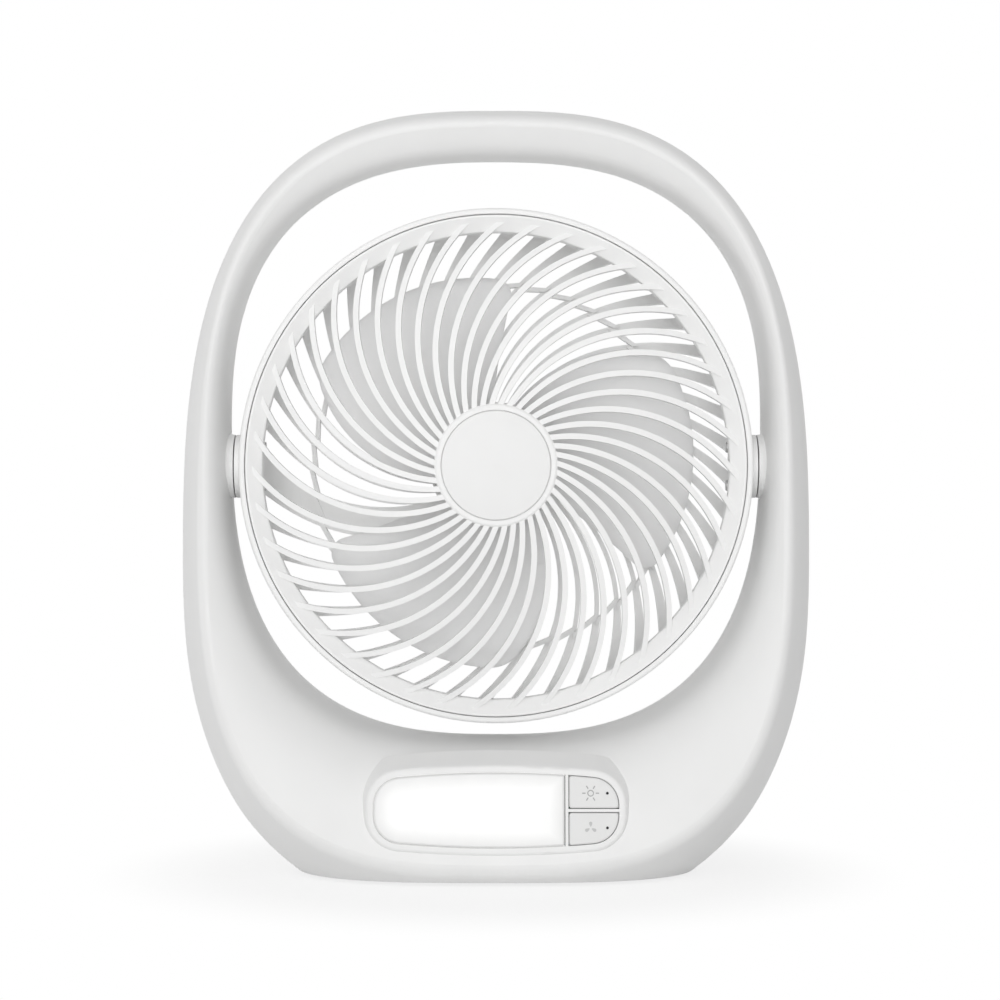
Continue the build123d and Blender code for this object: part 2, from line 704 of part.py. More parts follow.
def screw(seat, direction, head_radius, head_height, radius, bite):
    """Screw with a rounded head on a seat, its shank running along a direction."""
    shank = rod(seat, direction, radius, bite)
    head = rod(seat, -Vector(direction), head_radius, head_height)
    top = head.faces().sort_by(Axis(seat, -Vector(direction)))[-1]
    return shank + fillet(top.edges(), SCREW_EDGE_SHARE * head_height)


def big_screw(seat, direction, bite):
    return screw(seat, direction, SCREW_HEAD_RADIUS, SCREW_HEAD_HEIGHT, SCREW_RADIUS, bite)


def small_screw(seat, direction, bite):
    head = (SMALL_SCREW_HEAD_RADIUS, SMALL_SCREW_HEAD_HEIGHT)
    return screw(seat, direction, *head, SMALL_SCREW_RADIUS, bite)


def shell_screws():
    """Screws through the rear shell into the front shell's posts."""
    bite = SHELL_SCREW_SEAT + SHELL_SCREW_BITE
    screws = []
    for x, z in SHELL_POSTS:
        for sign in (-1, 1):
            screws.append(big_screw((sign * x, SHELL_SCREW_SEAT, z), (0, -1, 0), bite))
    return screws


# Base


def base_plate():
    """Floor of the base, fitted inside the lower edge of the shells."""
    slab = Pos(0, 0, FOOT_HEIGHT + PLATE_THICKNESS / 2) * Box(FAR, FAR, PLATE_THICKNESS)
    quarter = ring_quarter(WALL + PLATE_CLEARANCE) & slab
    plate = both_sides(quarter + mirror(quarter, Plane.XZ))
    for x in (-1, 1):
        for y in (-1, 1):
            plate -= rod((x * FOOT_X, y * FOOT_Y, 0), (0, 0, 1), FOOT_RADIUS, FOOT_HEIGHT + FOOT_RECESS)
            seat = (x * BASE_POST_X, y * BASE_POST_Y, 0)
            plate -= rod(seat, (0, 0, 1), SCREW_RADIUS + SCREW_FIT, FAR)
            plate -= rod(seat, (0, 0, 1), SCREW_HEAD_RADIUS + SCREW_FIT, FOOT_HEIGHT + PLATE_THICKNESS / 2)
    return plate


def rubber_feet():
    """Four round pads set in the base plate."""
    feet = []
    for x in (-1, 1):
        for y in (-1, 1):
            foot = rod((x * FOOT_X, y * FOOT_Y, 0), (0, 0, 1), FOOT_RADIUS, FOOT_HEIGHT + FOOT_RECESS)
            feet.append(fillet(foot.edges().group_by(Axis.Z)[0], FOOT_ROUND))
    return feet


def base_screws():
    """Flat screws that hold the base plate, their heads sunk in it."""
    seat = FOOT_HEIGHT + PLATE_THICKNESS / 2
    return [
        screw(
            (x * BASE_POST_X, y * BASE_POST_Y, seat),
            (0, 0, 1),
            SCREW_HEAD_RADIUS,
            PLATE_THICKNESS / 2,
            SCREW_RADIUS,
            PLATE_TOP - seat + BASE_SCREW_BITE,
        )
        for x in (-1, 1)
        for y in (-1, 1)
    ]


def cell_axes():
    """The Y places of the two cells, which lie along X."""
    return [CELL_MIDDLE_Y - CELL_SPACING / 2, CELL_MIDDLE_Y + CELL_SPACING / 2]


def battery_cells():
    """Two standard cylindrical cells, each with its raised contact."""
    cells = []
    for y in cell_axes():
        body = rod((-CELL_LENGTH / 2, y, CELL_AXIS_HEIGHT), (1, 0, 0), CELL_RADIUS, CELL_LENGTH)
        body = fillet(body.edges().filter_by(GeomType.CIRCLE), CELL_EDGE_ROUND)
        nub = rod((CELL_LENGTH / 2, y, CELL_AXIS_HEIGHT), (1, 0, 0), CELL_NUB_RADIUS, CELL_NUB)
        cells.append(body + nub)
    return cells


def battery_cradle():
    """Tray on the base plate with a trough for each cell."""
    length = CELL_LENGTH + CELL_NUB + 2 * (LINK_THICKNESS + CRADLE_WALL + CELL_FIT)
    width = CELL_SPACING + 2 * (CELL_RADIUS + CRADLE_WALL)
    middle = (CELL_NUB / 2, CELL_MIDDLE_Y, PLATE_TOP + CRADLE_HEIGHT / 2)
    tray = Pos(*middle) * Box(length, width, CRADLE_HEIGHT)
    tray = fillet(tray.edges().filter_by(Axis.Z), CRADLE_WALL)
    trough = length - 2 * CRADLE_WALL
    for y in cell_axes():
        start = (CELL_NUB / 2 - trough / 2, y, CELL_AXIS_HEIGHT)
        tray -= rod(start, (1, 0, 0), CELL_RADIUS + CELL_FIT, trough)
    return tray


def battery_links():
    """Flat strips that join the cells at either end."""
    links = []
    for x in (-CELL_LENGTH / 2 - LINK_THICKNESS / 2, CELL_LENGTH / 2 + CELL_NUB + LINK_THICKNESS / 2):
        strip = Box(LINK_THICKNESS, CELL_SPACING + LINK_HEIGHT, LINK_HEIGHT)
        strip = fillet(strip.edges().filter_by(Axis.X), LINK_ROUND)
        links.append(Pos(x, CELL_MIDDLE_Y, CELL_AXIS_HEIGHT) * strip)
    return links


# Lamp and buttons


def lamp_diffuser():
    """Milky window with a retaining flange behind the shell's wall."""
    edge = PANEL_DIVIDE - PANEL_GAP / 2
    window = panel_solid(panel_face(-LENS_FIT, right=edge), -WALL, LENS_PROUD)
    window = fillet(panel_front_edges(window), LENS_ROUND)
    return window + panel_solid(panel_face(FLANGE_WIDTH, right=edge), -WALL - FLANGE_THICKNESS, -WALL)


def lamp_reflector():
    """White tray between the window and the board."""
    edge = PANEL_DIVIDE - PANEL_GAP / 2
    back = -BOARD_DEPTH
    front = -WALL - FLANGE_THICKNESS
    tray = panel_solid(panel_face(-REFLECTOR_INSET, right=edge), back, front)
    inner = panel_face(-REFLECTOR_INSET - REFLECTOR_WALL, right=edge - REFLECTOR_WALL)
    return tray - panel_solid(inner, back, front)


def control_board():
    """Board across the back of the panel, on four posts of the front shell."""
    outline = RectangleRounded(2 * BOARD_HALF_WIDTH, 2 * BOARD_HALF_HEIGHT, BOARD_ROUND)
    board = panel_solid(outline, -BOARD_DEPTH - BOARD_THICKNESS, -BOARD_DEPTH)
    return board - board_fixings(SMALL_SCREW_RADIUS + SCREW_FIT, -FAR, 0)


def lamp_leds():
    """Rows of square diodes on the board inside the reflector."""
    middle = (PANEL_DIVIDE - LENS_HALF_WIDTH) / 2
    diodes = []
    for column in range(DIODE_COLUMNS):
        for row in range(DIODE_ROWS):
            x = middle + (column - (DIODE_COLUMNS - 1) / 2) * DIODE_PITCH_X
            z = (row - (DIODE_ROWS - 1) / 2) * DIODE_PITCH_Z
            face = Pos(x, z) * RectangleRounded(DIODE_SIZE, DIODE_SIZE, DIODE_ROUND)
            diodes.append(panel_solid(face, -BOARD_DEPTH, -BOARD_DEPTH + DIODE_HEIGHT))
    return diodes


def button_middle(row):
    """Where a button's switch sits on the panel; row is +1 above and -1 below."""
    x = (PANEL_DIVIDE + LENS_HALF_WIDTH) / 2 - SWITCH_SHIFT
    return x, row * SWITCH_RISE


def button_window(row):
    """Left, right, low and high limits of one button on the panel."""
    low, high = (BUTTON_GAP / 2, FAR) if row > 0 else (-FAR, -BUTTON_GAP / 2)
    return PANEL_DIVIDE + PANEL_GAP / 2, FAR, low, high


def button(row):
    """Push button: cap, flange behind the wall and stem to its switch."""
    x, z = button_middle(row)
    flange_front = -WALL - BUTTON_REST_GAP
    flange_back = flange_front - FLANGE_THICKNESS
    cap = panel_solid(panel_face(-BUTTON_CLEARANCE, *button_window(row)), flange_front, LENS_PROUD)
    cap = fillet(panel_front_edges(cap), BUTTON_ROUND)
    cap += panel_solid(panel_face(FLANGE_WIDTH, *button_window(row)), flange_back, flange_front)
    cap += panel_rod(x, z, STEM_RADIUS, flange_back - STEM_LENGTH, flange_back)
    return cap - panel_rod(x + INDICATOR_OFFSET, z, INDICATOR_RADIUS + INDICATOR_FIT, -FAR, FAR)


def button_indicator(row):
    """Tiny light guide through a button."""
    x, z = button_middle(row)
    back = -WALL - BUTTON_REST_GAP - FLANGE_THICKNESS
    return panel_rod(x + INDICATOR_OFFSET, z, INDICATOR_RADIUS, back, LENS_PROUD)


def plunger_tip():
    """Depth at which a button's stem meets its switch plunger."""
    return -WALL - BUTTON_REST_GAP - FLANGE_THICKNESS - STEM_LENGTH


def switch_plunger(row):
    """Moving plunger of a switch, pressed by the button's stem."""
    x, z = button_middle(row)
    return panel_rod(x, z, PLUNGER_RADIUS, plunger_tip() - PLUNGER_LENGTH, plunger_tip())


def switch_bodies():
    """The two switch housings on the board, each with a well for its plunger."""
    bodies = []
    for row in (-1, 1):
        x, z = button_middle(row)
        top = -BOARD_DEPTH + SWITCH_HEIGHT
        floor = plunger_tip() - PLUNGER_LENGTH - BUTTON_TRAVEL - PLUNGER_SPARE
        face = Pos(x, z) * RectangleRounded(SWITCH_SIZE, SWITCH_SIZE, SWITCH_ROUND)
        body = panel_solid(face, -BOARD_DEPTH, top)
        bodies.append(body - panel_rod(x, z, PLUNGER_RADIUS + PLUNGER_CLEARANCE, floor, top))
    return bodies


def indicator_leds():
    """Small chips on the board behind the buttons' light guides."""
    chips = []
    for row in (-1, 1):
        x, z = button_middle(row)
        face = Pos(x + INDICATOR_OFFSET, z) * Rectangle(CHIP_WIDTH, CHIP_WIDTH / 2)
        chips.append(panel_solid(face, -BOARD_DEPTH, -BOARD_DEPTH + CHIP_HEIGHT))
    return chips


def board_screws():
    """Small screws of the control board and the charging board."""
    screws = []
    back = -BOARD_DEPTH - BOARD_THICKNESS
    for x in (-BOARD_POST_X, BOARD_POST_X):
        for z in (-BOARD_POST_Z, BOARD_POST_Z):
            seat = PANEL.from_local_coords((x, z, back))
            screws.append(small_screw(seat, PANEL.z_dir, BOARD_THICKNESS + SMALL_SCREW_BITE - PILOT_SPARE))
    for x in (-CHARGE_POST_X, CHARGE_POST_X):
        seat = (x, CHARGE_BOARD_Y, PORT_HEIGHT)
        screws.append(small_screw(seat, (0, 1, 0), BOARD_THICKNESS + SMALL_SCREW_BITE - PILOT_SPARE))
    return screws


# Charging inlet


def charge_board():
    """Upright board behind the inlet."""
    size = (2 * CHARGE_BOARD_HALF_WIDTH, 2 * CHARGE_BOARD_HALF_HEIGHT)
    outline = RectangleRounded(*size, CHARGE_BOARD_ROUND)
    board = at_port(front_prism(outline, CHARGE_BOARD_Y, CHARGE_BOARD_Y + BOARD_THICKNESS))
    return board - charge_posts(SMALL_SCREW_RADIUS + SCREW_FIT, 0, FAR)


def charging_port():
    """Metal shell of the inlet, open to the rear."""
    back = PORT_RECESS_FLOOR
    shell = front_prism(port_face(0), CHARGE_BOARD_Y + BOARD_THICKNESS, back)
    return at_port(shell - front_prism(port_face(-PORT_WALL), back - PORT_CAVITY, back))


def port_tongue():
    """Contact tongue inside the inlet."""
    face = Rectangle(2 * TONGUE_HALF_WIDTH, TONGUE_THICKNESS)
    back = PORT_RECESS_FLOOR
    return at_port(front_prism(face, back - PORT_CAVITY, back - TONGUE_SETBACK))


# Head: guards and barrel


def swirl(radius, turn):
    """Degrees that a rib has turned at a radius, clockwise from its root."""
    share = (radius - RIB_ROOT_RADIUS) / (RIB_TAIL_RADIUS - RIB_ROOT_RADIUS)
    return turn * max(share, 0) ** SWIRL_POWER


def swirl_strip(start_angle, turn, inner, outer, inner_width, outer_width):
    """Face of one swirled rib in the front view, between two radii."""
    turn_rate = radians(turn) / (RIB_TAIL_RADIUS - RIB_ROOT_RADIUS)

    def side(sign):
        points = []
        for radius in (inner, (inner + outer) / 2, outer):
            share = (radius - inner) / (outer - inner)
            width = inner_width + (outer_width - inner_width) * share
            across = radius * cos(atan(radius * turn_rate))
            middle = start_angle - swirl(radius, turn)
            points.append(polar(radius, middle + sign * degrees(width / 2 / across)))
        return points

    left = side(1)
    right = side(-1)
    return make_face(
        [
            ThreePointArc(*left),
            Line(left[2], right[2]),
            ThreePointArc(*reversed(right)),
            Line(right[0], left[0]),
        ]
    )


def round_pattern(part, count, skip=()):
    """Copies of a part about the fan axis, counted counter-clockwise from the front."""
    return [Rot(0, -360 / count * i, 0) * part for i in range(count) if i not in skip]


def grille_screw_places():
    """Points on the ledge where the front guard is screwed on."""
    radius = HEAD_RADIUS - BARREL_WALL - GRILLE_SCREW_INSET
    for i in range(GRILLE_SCREWS):
        yield polar(radius, GRILLE_SCREW_ANGLE + 360 / GRILLE_SCREWS * i)


def front_grille():
    """Rim, hub and swirled ribs of the front guard."""
    rim_front = -BARREL_FRONT + RIM_RECESS
    rim = turned(
        [
            (RIM_INNER, LEDGE_FRONT),
            (RIM_RADIUS, LEDGE_FRONT),
            (RIM_RADIUS, rim_front),
            (RIM_RADIUS - RIM_ROUND, rim_front),
            (RIM_INNER, rim_front + RIM_SLOPE),
        ],
        [0, 0, RIM_EDGE_ROUND, RIM_EDGE_ROUND, RIM_ROUND],
    )
    pocket = CAP_RADIUS + CAP_CLEARANCE
    hub = turned(
        [
            (0, -HUB_FRONT + CAP_THICKNESS),
            (pocket, -HUB_FRONT + CAP_THICKNESS),
            (pocket, -HUB_FRONT),
            (HUB_RADIUS, -HUB_FRONT),
            (HUB_RADIUS, -HUB_FRONT + HUB_THICKNESS),
            (0, -HUB_FRONT + HUB_THICKNESS),
        ],
        [0, 0, 0, HUB_ROUND, HUB_ROUND, 0],
    )
    root = (RIB_ROOT_RADIUS, -RIB_HUB_FRONT)
    tail = (RIB_TAIL_RADIUS, -RIB_RIM_FRONT)
    crown = ((root[0] + tail[0]) / 2, (root[1] + tail[1]) / 2 - RIB_DOME)
    front = ThreePointArc(root, crown, tail)
    back = Pos(0, RIB_DEPTH) * front
    band = revolve(make_face([front, back, Line(front @ 0, back @ 0), Line(front @ 1, back @ 1)]), Axis.Y)
    strip = swirl_strip(FRONT_RIB_ANGLE, SWIRL_TURN, RIB_ROOT_RADIUS, RIB_TAIL_RADIUS, RIB_WIDTH, RIB_WIDTH)
    rib = front_prism(strip, -HUB_FRONT - RIB_DEPTH, 0) & band
    guard = rim + ([hub] + round_pattern(rib, FRONT_RIBS))
    for x, z in grille_screw_places():
        guard -= rod((x, LEDGE_FRONT, z), (0, -1, 0), SMALL_SCREW_RADIUS + SCREW_FIT, SMALL_SCREW_BITE)
    return at_head(guard)


def hub_cap():
    """Round disc in the front guard's hub."""
    back = -HUB_FRONT + CAP_THICKNESS
    edge = -HUB_FRONT + CAP_EDGE
    outline = [
        Line((0, back), (CAP_RADIUS, back)),
        Line((CAP_RADIUS, back), (CAP_RADIUS, edge)),
        Line((CAP_RADIUS, edge), (CAP_RADIUS - CAP_EDGE, -HUB_FRONT)),
        TangentArc((0, -HUB_FRONT - CAP_CROWN), (CAP_RADIUS - CAP_EDGE, -HUB_FRONT), tangent=(1, 0)),
        Line((0, -HUB_FRONT - CAP_CROWN), (0, back)),
    ]
    return at_head(revolve(make_face(outline), Axis.Y))


def grille_screws():
    """Screws from behind the ledge into the front guard's rim."""
    seat = LEDGE_FRONT + LEDGE_THICKNESS
    bite = LEDGE_THICKNESS + SMALL_SCREW_BITE - PILOT_SPARE
    return [at_head(small_screw((x, seat, z), (0, -1, 0), bite)) for x, z in grille_screw_places()]


def bowl_band():
    """Turned band that the rear ribs follow, from the barrel to the middle."""
    outer = HEAD_RADIUS - BOWL_INSET
    inner = outer - BOWL_THICKNESS
    start = BARREL_BACK - BOWL_THICKNESS
    middle = CUP_INNER
    return turned(
        [
            (outer, start),
            (outer, BOWL_EDGE_DEPTH),
            (middle, BOWL_DEPTH),
            (middle, BOWL_DEPTH - BOWL_THICKNESS),
            (inner, BOWL_EDGE_DEPTH - BOWL_THICKNESS),
            (inner, start),
        ],
        [0, BOWL_ROUND, 0, 0, BOWL_ROUND - BOWL_THICKNESS, 0],
    )


def barrel():
    """Barrel of the head with its lip and the front guard's ledge."""
    inner = HEAD_RADIUS - BARREL_WALL
    lip = HEAD_RADIUS - LIP_WALL
    ledge = inner - LEDGE_WIDTH
    return turned(
        [
            (HEAD_RADIUS, -BARREL_FRONT),
            (HEAD_RADIUS, BARREL_BACK),
            (inner, BARREL_BACK),
            (inner, LEDGE_FRONT + LEDGE_THICKNESS),
            (ledge, LEDGE_FRONT + LEDGE_THICKNESS),
            (ledge, LEDGE_FRONT),
            (lip, LEDGE_FRONT),
            (lip, -BARREL_FRONT),
        ],
        [LIP_ROUND, LIP_ROUND, 0, 0, 0, 0, 0, LIP_ROUND / 2],
    )


def motor_cup():
    """Cup in the middle of the rear guard that holds the motor, with its disc."""
    outer = CUP_INNER + CUP_WALL
    cover_seat = BOWL_DEPTH - COVER_THICKNESS
    return turned(
        [
            (MOTOR_BOSS_RADIUS + MOTOR_CLEARANCE, -CUP_FRONT),
            (outer, -CUP_FRONT),
            (outer, BOWL_DEPTH - BOWL_THICKNESS),
            (DISC_RADIUS, BOWL_DEPTH - BOWL_THICKNESS),
            (DISC_RADIUS, BOWL_DEPTH),
            (COVER_RADIUS + COVER_CLEARANCE, BOWL_DEPTH),
            (COVER_RADIUS + COVER_CLEARANCE, cover_seat),
            (CUP_INNER, cover_seat),
            (CUP_INNER, MOTOR_FRONT),
            (MOTOR_BOSS_RADIUS + MOTOR_CLEARANCE, MOTOR_FRONT),
        ]
    )


def motor_screw_places():
    """Points on the cup's front face where the motor is screwed on."""
    return [(-MOTOR_SCREW_RADIUS_OUT, 0), (MOTOR_SCREW_RADIUS_OUT, 0)]


def pin_screw_places():
    """Heights above and below the tilt axis where a pivot pin is screwed on."""
    return (-PIN_SCREW_OUT, PIN_SCREW_OUT)


def pivot_pads():
    """Collars outside the barrel and flat pads inside it, for the pivot pins."""
    collar = rod((HEAD_RADIUS - BARREL_WALL, 0, 0), (1, 0, 0), COLLAR_RADIUS, BARREL_WALL + COLLAR_HEIGHT)
    pad = rod((PIN_SEAT_X, 0, 0), (1, 0, 0), PIN_PAD_RADIUS, PIN_SEAT)
    return both_sides(collar + pad)


def pivot_holes():
    """Holes through the barrel's sides for the pivot pins and their screws."""
    holes = rod((PIN_SEAT_X, 0, 0), (1, 0, 0), JOURNAL_RADIUS + SCREW_FIT, FAR)
    pilot = PIN_SCREW_BITE + PILOT_SPARE
    for z in pin_screw_places():
        holes += rod((PIN_SEAT_X, 0, z), (1, 0, 0), SMALL_SCREW_RADIUS + SCREW_FIT, pilot)
    return both_sides(holes)


def rear_strip(start_angle, inner, outer, inner_width, outer_width):
    """Face of one rib of the rear guard in the front view."""
    return swirl_strip(start_angle, REAR_SWIRL_TURN, inner, outer, inner_width, outer_width)


def ring_piece():
    """Piece of the rear ring from one rib to the next, stepping in towards the middle."""
    outer = RING_RADIUS + RING_STEP / 2
    inner = RING_RADIUS - RING_STEP / 2
    ends = [(outer, -1, 0), (outer, 1, 0), (inner, 1, 1), (inner, -1, 1)]
    corners = []
    for middle, side, place in ends:
        radius = middle + side * RING_WIDTH / 2
        angle = REAR_RIB_ANGLE - swirl(radius, REAR_SWIRL_TURN) + place * 360 / REAR_RIBS
        corners.append(polar(radius, angle))
    back = BOWL_EDGE_DEPTH + RING_PROUD
    return front_prism(make_face(Polyline(*corners, close=True)), back - RING_THICKNESS, back)


def rear_grille():
    """Barrel, swirled rear ribs, ring, cable channel and motor cup in one moulding."""
    band = bowl_band()
    start = DISC_RADIUS - RIB_ROOT
    end = HEAD_RADIUS
    inner_strip = rear_strip(REAR_RIB_ANGLE, start, RING_RADIUS, REAR_RIB_WIDTH, REAR_RIB_WIDTH)
    outer_strip = rear_strip(REAR_RIB_ANGLE, RING_RADIUS, end, REAR_RIB_RING_WIDTH, REAR_RIB_OUTER_WIDTH)
    rib = front_prism(inner_strip + outer_strip, 0, BOWL_DEPTH + PAST) & band
    rib += ring_piece()
    channel_angle = CHANNEL_END + swirl(end, REAR_SWIRL_TURN)
    channel_strip = rear_strip(channel_angle, start, end, CHANNEL_WIDTH, CHANNEL_WIDTH)
    channel = front_prism(channel_strip, 0, BOWL_DEPTH + PAST) & band
    pitch = 360 / REAR_RIBS
    beside = (channel_angle - REAR_RIB_ANGLE) / pitch
    hidden = [i for i in range(REAR_RIBS) if abs(i - beside) < 1]
    ribs = round_pattern(rib, REAR_RIBS, hidden)
    bridges = [Rot(0, -pitch * i, 0) * ring_piece() for i in hidden]
    guard = barrel() + ([motor_cup(), channel, pivot_pads()] + ribs + bridges)
    guard -= pivot_holes()
    for x, z in grille_screw_places():
        guard -= rod((x, LEDGE_FRONT, z), (0, 1, 0), SMALL_SCREW_RADIUS + SCREW_FIT, LEDGE_THICKNESS)
    for x, z in motor_screw_places():
        guard -= rod((x, -CUP_FRONT, z), (0, 1, 0), SMALL_SCREW_RADIUS + SCREW_FIT, CUP_PLATE)
    return at_head(guard)


# Motor


def motor_can():
    """Drawn steel can of the motor, open at the rear, with a bearing boss in front."""
    bearing = BEARING_RADIUS + SHAFT_FIT
    can = turned(
        [
            (bearing, MOTOR_FRONT - MOTOR_BOSS_HEIGHT),
            (MOTOR_BOSS_RADIUS, MOTOR_FRONT - MOTOR_BOSS_HEIGHT),
            (MOTOR_BOSS_RADIUS, MOTOR_FRONT),
            (MOTOR_RADIUS, MOTOR_FRONT),
            (MOTOR_RADIUS, MOTOR_BACK),
            (MOTOR_RADIUS - MOTOR_WALL, MOTOR_BACK),
            (MOTOR_RADIUS - MOTOR_WALL, MOTOR_FRONT + MOTOR_WALL),
            (bearing, MOTOR_FRONT + MOTOR_WALL),
        ],
        [0, 0, 0, MOTOR_WALL, 0, 0, 0, 0],
    )
    for x, z in motor_screw_places():
        can -= rod((x, MOTOR_FRONT, z), (0, 1, 0), SMALL_SCREW_RADIUS + SCREW_FIT, MOTOR_WALL)
    return at_head(can)


def motor_end_cap():
    """Moulded end of the motor with the rear bearing's seat."""
    bearing = BEARING_RADIUS + SHAFT_FIT
    spigot = MOTOR_RADIUS - MOTOR_WALL - SHAFT_FIT
    return at_head(
        turned(
            [
                (bearing, MOTOR_BACK - MOTOR_WALL),
                (spigot, MOTOR_BACK - MOTOR_WALL),
                (spigot, MOTOR_BACK),
                (MOTOR_RADIUS, MOTOR_BACK),
                (MOTOR_RADIUS, MOTOR_BACK + MOTOR_END_THICKNESS - MOTOR_WALL),
                (bearing, MOTOR_BACK + MOTOR_END_THICKNESS - MOTOR_WALL),
            ]
        )
    )


def motor_bearings():
    """Sintered bushes at either end of the motor."""
    bushes = []
    rear_start = MOTOR_BACK + MOTOR_END_THICKNESS - MOTOR_WALL - BEARING_LENGTH
    for start in (MOTOR_FRONT - MOTOR_BOSS_HEIGHT, rear_start):
        bushes.append(
            at_head(
                turned(
                    [
                        (SHAFT_RADIUS + SHAFT_FIT, start),
                        (BEARING_RADIUS, start),
                        (BEARING_RADIUS, start + BEARING_LENGTH),
                        (SHAFT_RADIUS + SHAFT_FIT, start + BEARING_LENGTH),
                    ]
                )
            )
        )
    return bushes


def armature_start():
    """Front end of the armature's stack."""
    return MOTOR_FRONT + BEARING_LENGTH + ARMATURE_GAP


def motor_magnets():
    """Two arc magnets against the can's inside."""
    outer = MOTOR_RADIUS - MOTOR_WALL - SHAFT_FIT
    inner = outer - MAGNET_THICKNESS
    start = armature_start()
    profile = Polyline(
        (inner, start),
        (outer, start),
        (outer, start + ARMATURE_LENGTH),
        (inner, start + ARMATURE_LENGTH),
        close=True,
    )
    magnet = revolve(make_face(profile), Axis.Y, MAGNET_ANGLE)
    return [at_head(Rot(0, turn, 0) * magnet) for turn in (0, 180)]


def motor_screws():
    """Screws through the cup's front into the motor can."""
    bite = CUP_PLATE + MOTOR_WALL
    return [at_head(small_screw((x, -CUP_FRONT, z), (0, 1, 0), bite)) for x, z in motor_screw_places()]


def motor_cover():
    """Round cover that closes the motor cup at the rear."""
    seat = BOWL_DEPTH - COVER_THICKNESS
    outline = [
        Line((0, seat), (COVER_RADIUS, seat)),
        Line((COVER_RADIUS, seat), (COVER_RADIUS, BOWL_DEPTH - COVER_CROWN)),
        TangentArc((0, BOWL_DEPTH), (COVER_RADIUS, BOWL_DEPTH - COVER_CROWN), tangent=(1, 0)),
        Line((0, BOWL_DEPTH), (0, seat)),
    ]
    return at_head(revolve(make_face(outline), Axis.Y))


def shaft_front():
    """Front end of the motor shaft, inside the impeller's boss."""
    return -IMPELLER_FRONT + IMPELLER_FACE


def motor_shaft():
    """Shaft from the impeller's boss to the rear bearing."""
    back = MOTOR_BACK + MOTOR_END_THICKNESS - MOTOR_WALL
    return at_head(rod((0, shaft_front(), 0), (0, 1, 0), SHAFT_RADIUS, back - shaft_front()))


def armature():
    """Slotted stack with its winding core and commutator on the shaft."""
    start = armature_start()
    outer = MOTOR_RADIUS - MOTOR_WALL - SHAFT_FIT - MAGNET_THICKNESS - AIR_GAP
    bore = SHAFT_RADIUS + SHAFT_FIT
    stack = rod((0, start, 0), (0, 1, 0), outer, ARMATURE_LENGTH)
    slot = front_prism(
        Pos((outer + ARMATURE_CORE_RADIUS) / 2, 0) * Rectangle(outer - ARMATURE_CORE_RADIUS, ARMATURE_SLOT),
        start,
        start + ARMATURE_LENGTH,
    )
    stack -= round_pattern(slot, ARMATURE_POLES)
    stack += rod((0, start, 0), (0, 1, 0), COMMUTATOR_RADIUS, ARMATURE_LENGTH + COMMUTATOR_LENGTH)
    return at_head(stack - rod((0, start - PAST, 0), (0, 1, 0), bore, FAR))


# Impeller


def blade_outline():
    """Face of one blade in the front view: near-radial edge, tip and swept edge."""
    edge = [polar(radius, BLADE_ANGLE + angle) for radius, angle in BLADE_EDGE]
    swept = [polar(radius, BLADE_ANGLE + angle) for radius, angle in BLADE_SWEPT_EDGE]
    tip = polar(BLADE_TIP[0], BLADE_ANGLE + BLADE_TIP[1])
    face = make_face(
        [
            ThreePointArc(*edge),
            ThreePointArc(edge[2], tip, swept[0]),
            ThreePointArc(*swept),
            Line(swept[2], edge[0]),
        ]
    )
    face = fillet(face.vertices().sort_by_distance(edge[2])[0], BLADE_CORNER)
    return fillet(face.vertices().sort_by_distance(swept[0])[0], BLADE_SWEPT_CORNER)


def blade_section(angle):
    """Radial section of the blade's twisted sheet at an angle past its rear edge."""
    share = angle / BLADE_SPAN
    y = BLADE_BACK - BLADE_RISE * share - BLADE_CAMBER * 4 * share * (1 - share)
    inner = IMPELLER_RADIUS - IMPELLER_WALL
    outer = BLADE_SWEPT_EDGE[0][0] + BLADE_CORNER
    x, z = polar(1, BLADE_ANGLE + angle)
    root = BLADE_ROOT_THICKNESS / 2
    tip = BLADE_TIP_THICKNESS / 2
    corners = [(inner, y - root), (outer, y - tip), (outer, y + tip), (inner, y + root)]
    return Wire.make_polygon([(r * x, depth, r * z) for r, depth in corners], close=True)


def impeller():
    """Hub cup and three broad twisted blades."""
    hub = turned(
        [
            (0, -IMPELLER_FRONT),
            (IMPELLER_RADIUS, -IMPELLER_FRONT),
            (IMPELLER_RADIUS, IMPELLER_BACK),
            (IMPELLER_RADIUS - IMPELLER_WALL, IMPELLER_BACK),
            (IMPELLER_RADIUS - IMPELLER_WALL, -IMPELLER_FRONT + IMPELLER_FACE),
            (0, -IMPELLER_FRONT + IMPELLER_FACE),
        ],
        [0, IMPELLER_ROUND, 0, 0, IMPELLER_ROUND - IMPELLER_WALL, 0],
    )
    hub += rod((0, shaft_front(), 0), (0, 1, 0), IMPELLER_BOSS_RADIUS, IMPELLER_BOSS_LENGTH)
    hub -= rod((0, shaft_front(), 0), (0, 1, 0), SHAFT_RADIUS + SHAFT_FIT, FAR)
    angles = range(-BLADE_STEP, int(BLADE_SPAN) + BLADE_STEP, BLADE_STEP)
    sheet = Solid.make_loft([blade_section(angle) for angle in angles])
    blade = sheet & front_prism(blade_outline(), -IMPELLER_FRONT - BLADE_RISE, IMPELLER_BACK + BLADE_RISE)
    blade -= rod((0, -FAR / 2, 0), (0, 1, 0), IMPELLER_RADIUS - IMPELLER_WALL / 2, FAR)
    return at_head(hub + round_pattern(blade, BLADES))


# Pivots


